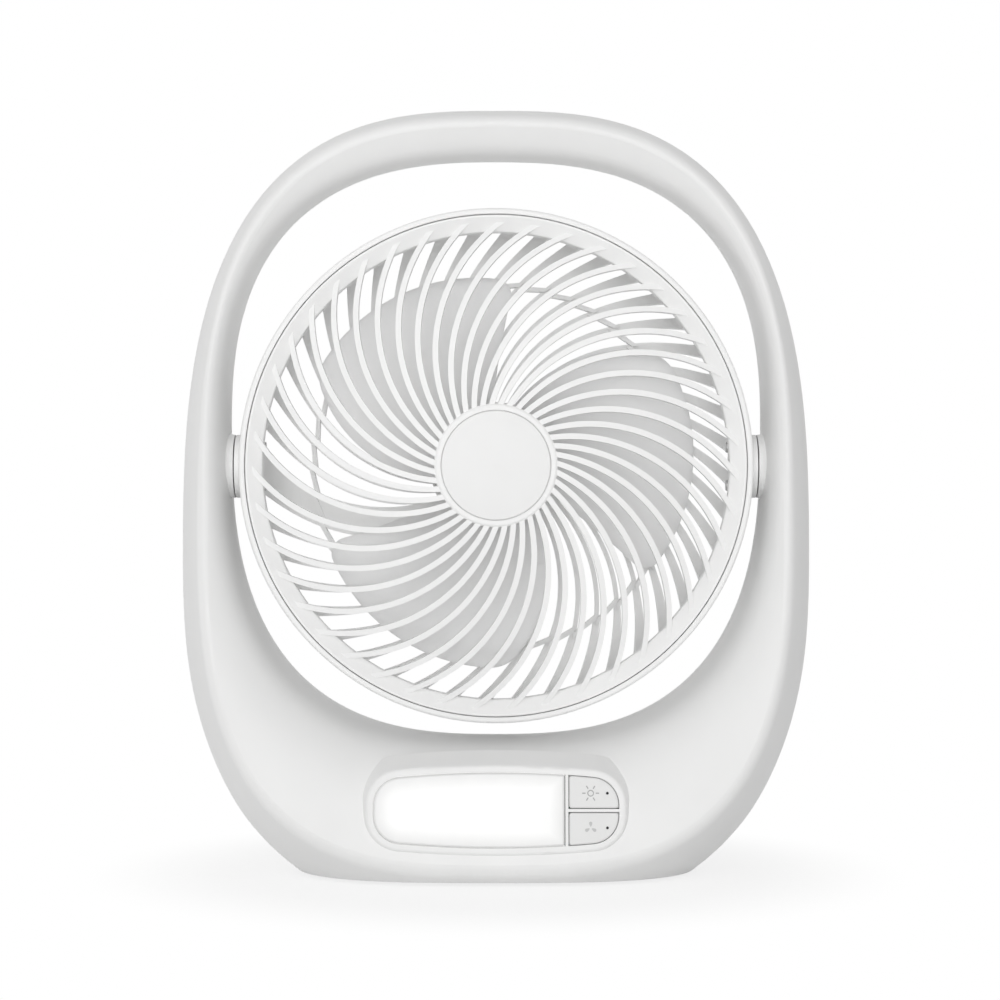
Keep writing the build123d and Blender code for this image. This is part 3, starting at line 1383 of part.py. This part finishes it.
def pivot_pin(side):
    """Hollow pin from inside the barrel's wall out into the arm."""
    pin = rod((PIN_SEAT_X - PIN_FLANGE, 0, 0), (1, 0, 0), PIN_FLANGE_RADIUS, PIN_FLANGE)
    pin += rod((PIN_SEAT_X, 0, 0), (1, 0, 0), JOURNAL_RADIUS, JOURNAL_TIP - PIN_SEAT_X)
    groove = rod((CLIP_START, 0, 0), (1, 0, 0), JOURNAL_RADIUS + PAST, CLIP_THICKNESS)
    pin -= groove - rod((CLIP_START, 0, 0), (1, 0, 0), JOURNAL_RADIUS - CLIP_GROOVE, CLIP_THICKNESS)
    pin -= rod((0, 0, 0), (1, 0, 0), LEAD_BORE_RADIUS, FAR)
    for z in pin_screw_places():
        pin -= rod((0, 0, z), (1, 0, 0), SMALL_SCREW_RADIUS + SCREW_FIT, PIN_SEAT_X + SCREW_FIT)
    return at_head(pin if side > 0 else mirror(pin, Plane.YZ))


def on_both_sides(part):
    """Separate solids for the right and the left pivot."""
    return [at_head(part), at_head(mirror(part, Plane.YZ))]


def pivot_screws():
    """Screws that hold the pins' flanges to the barrel."""
    screws = []
    bite = PIN_FLANGE + PIN_SCREW_BITE
    for z in pin_screw_places():
        screws += on_both_sides(small_screw((PIN_SEAT_X - PIN_FLANGE, 0, z), (1, 0, 0), bite))
    return screws


def sleeve(start, inner, outer, length):
    """Hollow round sleeve along the tilt axis."""
    return rod((start, 0, 0), (1, 0, 0), outer, length) - rod((start, 0, 0), (1, 0, 0), inner, length)


def pivot_bushes():
    """Friction bushes held between the two shells in each arm."""
    inner = JOURNAL_RADIUS + BUSH_CLEARANCE
    return on_both_sides(sleeve(BUSH_START, inner, inner + BUSH_WALL, BUSH_LENGTH))


def friction_washers():
    """Washers between each boss and its retaining clip."""
    inner = JOURNAL_RADIUS + BUSH_CLEARANCE
    return on_both_sides(sleeve(BOSS_END + PIVOT_PLAY, inner, WASHER_RADIUS, WASHER_THICKNESS))


def retaining_clips():
    """Open spring clips in the pins' grooves."""
    clip = sleeve(CLIP_START, JOURNAL_RADIUS - CLIP_GROOVE, CLIP_RADIUS, CLIP_THICKNESS)
    reach = 2 * CLIP_RADIUS
    corners = [polar(reach, 90 - CLIP_MOUTH / 2), polar(reach, 90 + CLIP_MOUTH / 2)]
    mouth = make_face(Polyline((0, 0), *corners, close=True))
    clip -= extrude(Plane((CLIP_START, 0, 0), x_dir=(0, 1, 0), z_dir=(1, 0, 0)) * mouth, CLIP_THICKNESS)
    return on_both_sides(clip)


NODES = {
    "front_shell": front_shell,
    "rear_shell": rear_shell,
    "shell_screws": shell_screws,
    "base_plate": base_plate,
    "rubber_feet": rubber_feet,
    "base_screws": base_screws,
    "battery_cells": battery_cells,
    "battery_cradle": battery_cradle,
    "battery_links": battery_links,
    "lamp_diffuser": lamp_diffuser,
    "lamp_reflector": lamp_reflector,
    "lamp_leds": lamp_leds,
    "control_board": control_board,
    "switch_bodies": switch_bodies,
    "indicator_leds": indicator_leds,
    "board_screws": board_screws,
    "charge_board": charge_board,
    "charging_port": charging_port,
    "port_tongue": port_tongue,
    "pivot_bushes": pivot_bushes,
    "friction_washers": friction_washers,
    "light_button": lambda: button(1),
    "light_indicator": lambda: button_indicator(1),
    "light_plunger": lambda: switch_plunger(1),
    "fan_button": lambda: button(-1),
    "fan_indicator": lambda: button_indicator(-1),
    "fan_plunger": lambda: switch_plunger(-1),
    "front_grille": front_grille,
    "hub_cap": hub_cap,
    "grille_screws": grille_screws,
    "rear_grille": rear_grille,
    "motor_cover": motor_cover,
    "motor_can": motor_can,
    "motor_end_cap": motor_end_cap,
    "motor_bearings": motor_bearings,
    "motor_magnets": motor_magnets,
    "motor_screws": motor_screws,
    "left_pivot_pin": lambda: pivot_pin(-1),
    "right_pivot_pin": lambda: pivot_pin(1),
    "pivot_screws": pivot_screws,
    "retaining_clips": retaining_clips,
    "impeller": impeller,
    "motor_shaft": motor_shaft,
    "armature": armature,
}

os.makedirs("parts", exist_ok=True)
for name, make in NODES.items():
    shape = make()
    solids = shape if isinstance(shape, list) else [shape]
    whole = Compound(children=[s for part in solids for s in part.solids()])
    export_step(whole, f"parts/{name}.step")
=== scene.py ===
import json
import math

import bmesh
import bpy
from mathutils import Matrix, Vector


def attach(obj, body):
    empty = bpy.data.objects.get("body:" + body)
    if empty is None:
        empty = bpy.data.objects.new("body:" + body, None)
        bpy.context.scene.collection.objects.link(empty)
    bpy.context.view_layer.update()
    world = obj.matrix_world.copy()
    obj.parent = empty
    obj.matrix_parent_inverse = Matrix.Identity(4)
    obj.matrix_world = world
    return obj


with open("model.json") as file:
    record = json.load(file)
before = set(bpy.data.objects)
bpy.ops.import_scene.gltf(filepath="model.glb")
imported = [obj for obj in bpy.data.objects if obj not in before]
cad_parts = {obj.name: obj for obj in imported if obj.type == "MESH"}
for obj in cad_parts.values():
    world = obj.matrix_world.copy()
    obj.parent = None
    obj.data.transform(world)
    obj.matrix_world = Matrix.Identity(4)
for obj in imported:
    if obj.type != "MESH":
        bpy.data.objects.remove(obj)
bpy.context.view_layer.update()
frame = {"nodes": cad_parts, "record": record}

NODES = frame["nodes"]
MM = 0.001

# Lamp panel: the plane of the base's front, in millimetres
PANEL_ORIGIN = Vector((0, -37.339, 22.8))
PANEL_TILT = math.radians(4)
PANEL_OUT = Vector((0, -math.cos(PANEL_TILT), math.sin(PANEL_TILT)))
PANEL_UP = Vector((0, math.sin(PANEL_TILT), math.cos(PANEL_TILT)))

# Lamp window: rounded outline with arched long sides, cut straight beside the buttons
WINDOW_HALF_WIDTH = 36.35
WINDOW_HALF_HEIGHT = 11.1
WINDOW_CORNER = 8.25
WINDOW_BULGE = 2.1
WINDOW_RIGHT = 20.35

# Its light: full at GLOW_DEPTH inside the outline, faint on the side walls below WALL_TOP
GLOW_COLOUR = (1, 1, 0.99, 1)
GLOW_STRENGTH = 0.16
GLOW_DEPTH = 4.6
WALL_TOP = -0.3
WALL_GLOW = 0.3

# Signs on the buttons
BUTTON_FACE = 0.4
SIGN_TOP = BUTTON_FACE + 0.05
SIGN_FOOT = BUTTON_FACE - 0.1
SIGN_X = 28.0
SIGN_Z = 5.1
SUN_RING = (0.68, 1.0)
SUN_RING_STEPS = 24
SUN_RAYS = 6
SUN_RAY_ENDS = (1.5, 2.5)
SUN_RAY_HALF_WIDTH = 0.17
BLADES = 3
BLADE_STEPS = 16
BLADE_MIDDLE = 1.1
BLADE_HALF_LENGTH = 0.75
BLADE_HALF_WIDTH = 0.68
BLADE_TAPER = 0.35

# Textures: noise scales per metre, and how far they change a surface
RAMP_ENDS = (0.35, 0.65)
FLOW_SCALE = 28
FLOW_STRETCH = (1, 1, 0.5)
GLOSS_SCALE = 140
GLOSS_SPREAD = 0.05
GRAIN_SCALE = 2400
GRAIN_HEIGHT = 0.0002
FINE_GRAIN = 0.02
SCRATCH_SCALE = 900
SCRATCH_SHADES = (0.9, 1.06)
SCRATCH_ROUGHNESS = (-0.08, 0.1)
MILK_COLOUR = (0.81, 0.81, 0.805)
MILK_SHADE = 0.985
MILK_ROUGHNESS = (0.28, 0.36)
MILK_CLOUD_SCALE = 60
MILK_GRAIN_SCALE = 500

# Stage: metres, and the share of plain white in the floor under the object
FLOOR_SIZE = 30
FLOOR_GREYS = ((0.88, 0.88, 0.88), (0.9, 0.9, 0.9))
FLOOR_SCALE = 3
SHADOW_RADII = (0.07, 0.13)
SHADOW_WHITE = 0.8
PLAIN_WHITE = 1.0
WORLD_STRENGTH = 0.45
LAMP_AIM = Vector((0, 0, 0.12))

# Camera: level, a little below the middle of the head; FRAME_WIDTH is seen at the pivots
CAMERA_DISTANCE = 0.8
CAMERA_HEIGHT = 0.1132
FRAME_WIDTH = 0.3104
SENSOR_WIDTH = 36
CAMERA_SHIFT = (0.004, 0.005)
CAMERA_CLIP = (0.05, 50)


# Materials


def new_material(name):
    """Node material with a plain Principled shader."""
    material = bpy.data.materials.new(name)
    material.use_nodes = True
    tree = material.node_tree
    return material, tree, tree.nodes["Principled BSDF"]


def object_point(tree):
    """Place on the object, in its own metres."""
    return tree.nodes.new("ShaderNodeTexCoord").outputs["Object"]


def noise(tree, scale, detail=2, stretch=None):
    """Noise in the object's own metres."""
    source = object_point(tree)
    if stretch:
        mapping = tree.nodes.new("ShaderNodeMapping")
        mapping.inputs["Scale"].default_value = stretch
        tree.links.new(source, mapping.inputs["Vector"])
        source = mapping.outputs["Vector"]
    texture = tree.nodes.new("ShaderNodeTexNoise")
    texture.inputs["Scale"].default_value = scale
    texture.inputs["Detail"].default_value = detail
    tree.links.new(source, texture.inputs["Vector"])
    return texture.outputs["Fac"]


def ramp(tree, value, low, high):
    """Colour ramp between two colours."""
    node = tree.nodes.new("ShaderNodeValToRGB")
    for element, place, colour in zip(node.color_ramp.elements, RAMP_ENDS, (low, high)):
        element.position = place
        element.color = (*colour, 1)
    tree.links.new(value, node.inputs["Fac"])
    return node.outputs["Color"]


def spread(tree, value, low, high, start=0, end=1, curve="LINEAR"):
    """Map a value between start and end to a range."""
    node = tree.nodes.new("ShaderNodeMapRange")
    node.interpolation_type = curve
    node.inputs["From Min"].default_value = start
    node.inputs["From Max"].default_value = end
    node.inputs["To Min"].default_value = low
    node.inputs["To Max"].default_value = high
    tree.links.new(value, node.inputs["Value"])
    return node.outputs["Result"]


def math_node(tree, operation, first, second=0):
    """Result of a math node on two values, each a socket or a number."""
    node = tree.nodes.new("ShaderNodeMath")
    node.operation = operation
    for socket, value in zip(node.inputs, (first, second)):
        if isinstance(value, (int, float)):
            socket.default_value = value
        else:
            tree.links.new(value, socket)
    return node.outputs[0]


def shade(colour, factor):
    """Lighter or darker colour."""
    return tuple(min(channel * factor, 1) for channel in colour)


def moulded(name, colour, roughness, grain=GRAIN_SCALE, depth=0.035, vary=0.015, reach=0):
    """Moulded plastic: fine spark grain, faint flow marks and uneven gloss.

    Light goes through a thin wall where reach, in metres, isn't 0.
    """
    material, tree, shader = new_material(name)
    flow = noise(tree, FLOW_SCALE, 4, FLOW_STRETCH)
    tint = ramp(tree, flow, shade(colour, 1 - vary), shade(colour, 1 + vary))
    tree.links.new(tint, shader.inputs["Base Color"])
    gloss = noise(tree, GLOSS_SCALE)
    gloss = spread(tree, gloss, roughness - GLOSS_SPREAD, roughness + GLOSS_SPREAD)
    tree.links.new(gloss, shader.inputs["Roughness"])
    bump = tree.nodes.new("ShaderNodeBump")
    bump.inputs["Strength"].default_value = depth
    bump.inputs["Distance"].default_value = GRAIN_HEIGHT
    tree.links.new(noise(tree, grain), bump.inputs["Height"])
    tree.links.new(bump.outputs["Normal"], shader.inputs["Normal"])
    if reach:
        shader.inputs["Subsurface Weight"].default_value = 1
        shader.inputs["Subsurface Radius"].default_value = (1, 1, 1)
        shader.inputs["Subsurface Scale"].default_value = reach
    return material


def own_normals(material):
    """Shade a moulded material by the faces' own normals."""
    tree = material.node_tree
    geometry = tree.nodes.new("ShaderNodeNewGeometry")
    tree.links.new(geometry.outputs["True Normal"], tree.nodes["Bump"].inputs["Normal"])


def metal(name, colour, roughness, brushed=(1, 1, 1)):
    """Plated or drawn metal with fine scratches."""
    material, tree, shader = new_material(name)
    shader.inputs["Metallic"].default_value = 1
    lines = noise(tree, SCRATCH_SCALE, 4, brushed)
    tint = ramp(tree, lines, *(shade(colour, factor) for factor in SCRATCH_SHADES))
    tree.links.new(tint, shader.inputs["Base Color"])
    gloss = spread(tree, lines, *(roughness + change for change in SCRATCH_ROUGHNESS))
    tree.links.new(gloss, shader.inputs["Roughness"])
    return material


def window_depth(tree):
    """Distance in millimetres from the lamp window's outline inwards."""
    parts = tree.nodes.new("ShaderNodeSeparateXYZ")
    tree.links.new(object_point(tree), parts.inputs["Vector"])
    x = math_node(tree, "DIVIDE", parts.outputs["X"], MM)
    z = math_node(tree, "DIVIDE", parts.outputs["Z"], MM)
    z = math_node(tree, "SUBTRACT", z, PANEL_ORIGIN.z)
    along = math_node(tree, "ABSOLUTE", x)
    along = math_node(tree, "SUBTRACT", along, WINDOW_HALF_WIDTH - WINDOW_CORNER)
    arch = math_node(tree, "POWER", math_node(tree, "DIVIDE", x, WINDOW_HALF_WIDTH), 2)
    arch = math_node(tree, "MULTIPLY", arch, WINDOW_BULGE)
    across = math_node(tree, "ADD", math_node(tree, "ABSOLUTE", z), arch)
    across = math_node(tree, "SUBTRACT", across, WINDOW_HALF_HEIGHT - WINDOW_CORNER)
    squares = []
    for value in (along, across):
        squares.append(math_node(tree, "POWER", math_node(tree, "MAXIMUM", value, 0), 2))
    outer = math_node(tree, "SQRT", math_node(tree, "ADD", *squares))
    inner = math_node(tree, "MINIMUM", math_node(tree, "MAXIMUM", along, across), 0)
    depth = math_node(tree, "SUBTRACT", WINDOW_CORNER, math_node(tree, "ADD", outer, inner))
    return math_node(tree, "MINIMUM", depth, math_node(tree, "SUBTRACT", WINDOW_RIGHT, x))


def window_walls(tree):
    """1 on the window's side walls, where light leaks into the gap round it."""
    height = tree.nodes.new("ShaderNodeVectorMath")
    height.operation = "DOT_PRODUCT"
    height.inputs[1].default_value = PANEL_OUT
    tree.links.new(object_point(tree), height.inputs[0])
    wall_top = (PANEL_ORIGIN.dot(PANEL_OUT) + WALL_TOP) * MM
    return math_node(tree, "LESS_THAN", height.outputs["Value"], wall_top)


def glowing(name):
    """Milky window, lit from behind and fading out at its edge."""
    material, tree, shader = new_material(name)
    cloud = noise(tree, MILK_CLOUD_SCALE)
    tint = ramp(tree, cloud, shade(MILK_COLOUR, MILK_SHADE), MILK_COLOUR)
    tree.links.new(tint, shader.inputs["Base Color"])
    gloss = spread(tree, noise(tree, MILK_GRAIN_SCALE), *MILK_ROUGHNESS)
    tree.links.new(gloss, shader.inputs["Roughness"])
    face = spread(tree, window_depth(tree), 0, GLOW_STRENGTH, end=GLOW_DEPTH)
    walls = math_node(tree, "MULTIPLY", window_walls(tree), WALL_GLOW)
    glow = math_node(tree, "MAXIMUM", face, walls)
    shader.inputs["Emission Color"].default_value = GLOW_COLOUR
    tree.links.new(glow, shader.inputs["Emission Strength"])
    return material


PLASTICS = {
    "shell_white": dict(colour=(0.86, 0.86, 0.855), roughness=0.42),
    "guard_white": dict(colour=(0.93, 0.93, 0.925), roughness=0.45, depth=FINE_GRAIN),
    "impeller_white": dict(
        colour=(0.965, 0.965, 0.965), roughness=0.5, depth=FINE_GRAIN, reach=0.012
    ),
    "button_white": dict(colour=(0.78, 0.78, 0.775), roughness=0.4, depth=FINE_GRAIN),
    "indicator_dark": dict(colour=(0.02, 0.02, 0.022), roughness=0.8),
    "reflector_white": dict(colour=(0.9, 0.9, 0.9), roughness=0.3),
    "board_green": dict(colour=(0.03, 0.16, 0.08), roughness=0.35, vary=0.2),
    "switch_black": dict(colour=(0.03, 0.03, 0.03), roughness=0.5, vary=0.2),
    "diode_yellow": dict(colour=(0.8, 0.68, 0.25), roughness=0.25, vary=0.05),
    "rubber_grey": dict(
        colour=(0.3, 0.3, 0.3), roughness=0.75, grain=1500, depth=0.2, vary=0.08
    ),
    "cell_wrap": dict(colour=(0.1, 0.32, 0.42), roughness=0.3, vary=0.06),
    "cradle_black": dict(colour=(0.05, 0.05, 0.05), roughness=0.55, vary=0.2),
    "nylon": dict(colour=(0.72, 0.71, 0.67), roughness=0.5),
    "magnet_grey": dict(colour=(0.07, 0.07, 0.075), roughness=0.6, vary=0.15),
}
METALS = {
    "steel": dict(colour=(0.6, 0.6, 0.6), roughness=0.34),
    "nickel": dict(colour=(0.66, 0.64, 0.6), roughness=0.3, brushed=(1, 8, 1)),
    "bronze": dict(colour=(0.5, 0.36, 0.18), roughness=0.45),
    "stack_steel": dict(colour=(0.36, 0.28, 0.22), roughness=0.4, brushed=(1, 30, 1)),
}
SLOTS = {name: moulded(name, **look) for name, look in PLASTICS.items()}
SLOTS.update((name, metal(name, **look)) for name, look in METALS.items())
SLOTS["lamp_milk"] = glowing("lamp_milk")
SIGN_GREY = moulded("icon_grey", (0.42, 0.42, 0.42), 0.5, vary=0.03)
SIGN_PALE_GREY = moulded("icon_pale_grey", (0.55, 0.55, 0.55), 0.5, vary=0.03)
CAP_WHITE = moulded("cap_white", (0.885, 0.885, 0.88), 0.45, depth=FINE_GRAIN)
own_normals(CAP_WHITE)

for entry in frame["record"]["subparts"]:
    node = NODES[entry["node"]]
    node.data.materials.clear()
    node.data.materials.append(SLOTS[entry["material_slot"]])

# Both caps' meshes have a crooked normal at their poles, which would show as a smudge
for name in ("hub_cap", "motor_cover"):
    NODES[name].data.materials[0] = CAP_WHITE


# Pieces


def add_piece(name, mesh, material, body):
    """Link a mesh as a piece of the object that moves with a body."""
    piece = bpy.data.objects.new(name, mesh)
    bpy.context.scene.collection.objects.link(piece)
    mesh.materials.append(material)
    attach(piece, body)


def panel_point(x, z, out):
    """Point on the lamp panel from millimetres across, up and out of it."""
    return (PANEL_ORIGIN + Vector((x, 0, 0)) + PANEL_UP * z + PANEL_OUT * out) * MM


def printed(name, outlines, body, material):
    """Thin raised sign on a button from closed outlines of (x, z) millimetres."""
    form = bmesh.new()
    for outline in outlines:
        upper = [form.verts.new(panel_point(x, z, SIGN_TOP)) for x, z in outline]
        lower = [form.verts.new(panel_point(x, z, SIGN_FOOT)) for x, z in outline]
        form.faces.new(upper)
        for i in range(len(outline)):
            j = (i + 1) % len(outline)
            form.faces.new((upper[i], lower[i], lower[j], upper[j]))
    bmesh.ops.recalc_face_normals(form, faces=form.faces)
    mesh = bpy.data.meshes.new(name)
    form.to_mesh(mesh)
    form.free()
    add_piece(name, mesh, material, body)


def spot(x, z, angle, radius):
    """Point at an angle and a radius from (x, z)."""
    return (x + radius * math.cos(angle), z + radius * math.sin(angle))


def sun_outlines(x, z):
    """Small ring of quads, with short rays round it."""
    outlines = []
    inner, outer = SUN_RING
    for i in range(SUN_RING_STEPS):
        a, b = (2 * math.pi * k / SUN_RING_STEPS for k in (i, i + 1))
        outlines.append(
            [spot(x, z, a, inner), spot(x, z, a, outer), spot(x, z, b, outer), spot(x, z, b, inner)]
        )
    for i in range(SUN_RAYS):
        a = 2 * math.pi * i / SUN_RAYS
        across = Vector((-math.sin(a), math.cos(a))) * SUN_RAY_HALF_WIDTH
        near, far = (Vector(spot(x, z, a, radius)) for radius in SUN_RAY_ENDS)
        corners = (near - across, far - across, far + across, near + across)
        outlines.append([tuple(corner) for corner in corners])
    return outlines


def blade_outlines(x, z):
    """Three drop-shaped blades round a middle."""
    outlines = []
    for i in range(BLADES):
        a = math.radians(90 + 360 / BLADES * i)
        drop = []
        for k in range(BLADE_STEPS):
            t = 2 * math.pi * k / BLADE_STEPS
            along = BLADE_MIDDLE + BLADE_HALF_LENGTH * math.cos(t)
            narrowing = 1 - BLADE_TAPER + BLADE_TAPER * math.cos(t)
            across = BLADE_HALF_WIDTH * math.sin(t) * narrowing
            drop.append(
                (
                    x + along * math.cos(a) - across * math.sin(a),
                    z + along * math.sin(a) + across * math.cos(a),
                )
            )
        outlines.append(drop)
    return outlines


printed("light_sign", sun_outlines(SIGN_X, SIGN_Z), "light_key", SIGN_GREY)
printed("fan_sign", blade_outlines(SIGN_X, -SIGN_Z), "fan_key", SIGN_PALE_GREY)


# Stage


def seen_rays(tree):
    """1 for rays that show the background: camera, glossy and transmission."""
    path = tree.nodes.new("ShaderNodeLightPath")
    seen = math_node(tree, "MAXIMUM", path.outputs["Is Camera Ray"], path.outputs["Is Glossy Ray"])
    return math_node(tree, "MAXIMUM", seen, path.outputs["Is Transmission Ray"])


def mixed(tree, share, first, second):
    """Two shaders, mixed by the second one's share."""
    node = tree.nodes.new("ShaderNodeMixShader")
    tree.links.new(share, node.inputs["Fac"])
    tree.links.new(first, node.inputs[1])
    tree.links.new(second, node.inputs[2])
    return node.outputs[0]


def backdrop_material():
    """Pale floor that reads as white and keeps a soft shadow."""
    material, tree, shader = new_material("floor")
    tree.nodes.remove(shader)
    bounce = tree.nodes.new("ShaderNodeBsdfDiffuse")
    tint = ramp(tree, noise(tree, FLOOR_SCALE, 3), *FLOOR_GREYS)
    tree.links.new(tint, bounce.inputs["Color"])
    away = tree.nodes.new("ShaderNodeVectorMath")
    away.operation = "LENGTH"
    tree.links.new(object_point(tree), away.inputs[0])
    distance = away.outputs["Value"]
    lit = spread(tree, distance, SHADOW_WHITE, PLAIN_WHITE, *SHADOW_RADII, "SMOOTHSTEP")
    white = tree.nodes.new("ShaderNodeEmission")
    shown = mixed(tree, lit, bounce.outputs[0], white.outputs[0])
    surface = mixed(tree, seen_rays(tree), bounce.outputs[0], shown)
    tree.links.new(surface, tree.nodes["Material Output"].inputs["Surface"])
    return material


bpy.ops.mesh.primitive_plane_add(size=FLOOR_SIZE, location=(0, 0, 0))
floor = bpy.context.object
floor.name = "floor"
floor.data.materials.append(backdrop_material())

world = bpy.data.worlds.new("studio")
bpy.context.scene.world = world
world.use_nodes = True
sky_tree = world.node_tree
sky = sky_tree.nodes["Background"]
sky.inputs["Color"].default_value = (1, 1, 1, 1)
sky_level = spread(sky_tree, seen_rays(sky_tree), WORLD_STRENGTH, PLAIN_WHITE)
sky_tree.links.new(sky_level, sky.inputs["Strength"])


def area_lamp(name, place, width, height, power, glossy=True):
    """Soft lamp aimed at the head's middle; glossy says if it shows in reflections."""
    data = bpy.data.lights.new(name, "AREA")
    data.shape = "RECTANGLE"
    data.size = width
    data.size_y = height
    data.energy = power
    lamp = bpy.data.objects.new(name, data)
    bpy.context.scene.collection.objects.link(lamp)
    lamp.location = place
    lamp.rotation_euler = (LAMP_AIM - Vector(place)).to_track_quat("-Z", "Y").to_euler()
    lamp.visible_glossy = glossy


area_lamp("key", (-0.25, -1.2, 0.7), 0.8, 0.8, 2.9)
area_lamp("side", (-1.4, -0.05, 0.15), 0.5, 0.5, 2.2)
area_lamp("back", (0, 1.4, 0.05), 0.9, 0.08, 6.5, glossy=False)
area_lamp("front", (-0.02, -1.5, 0.16), 0.5, 0.5, 7.0)

camera_data = bpy.data.cameras.new("camera")
camera = bpy.data.objects.new("camera", camera_data)
bpy.context.scene.collection.objects.link(camera)
camera.location = (0, -CAMERA_DISTANCE, CAMERA_HEIGHT)
camera.rotation_euler = (math.radians(90), 0, 0)
camera_data.sensor_width = SENSOR_WIDTH
camera_data.lens = SENSOR_WIDTH * CAMERA_DISTANCE / FRAME_WIDTH
camera_data.shift_x, camera_data.shift_y = CAMERA_SHIFT
camera_data.clip_start, camera_data.clip_end = CAMERA_CLIP
bpy.context.scene.camera = camera
bpy.context.scene.view_settings.view_transform = "Standard"

bpy.context.view_layer.update()
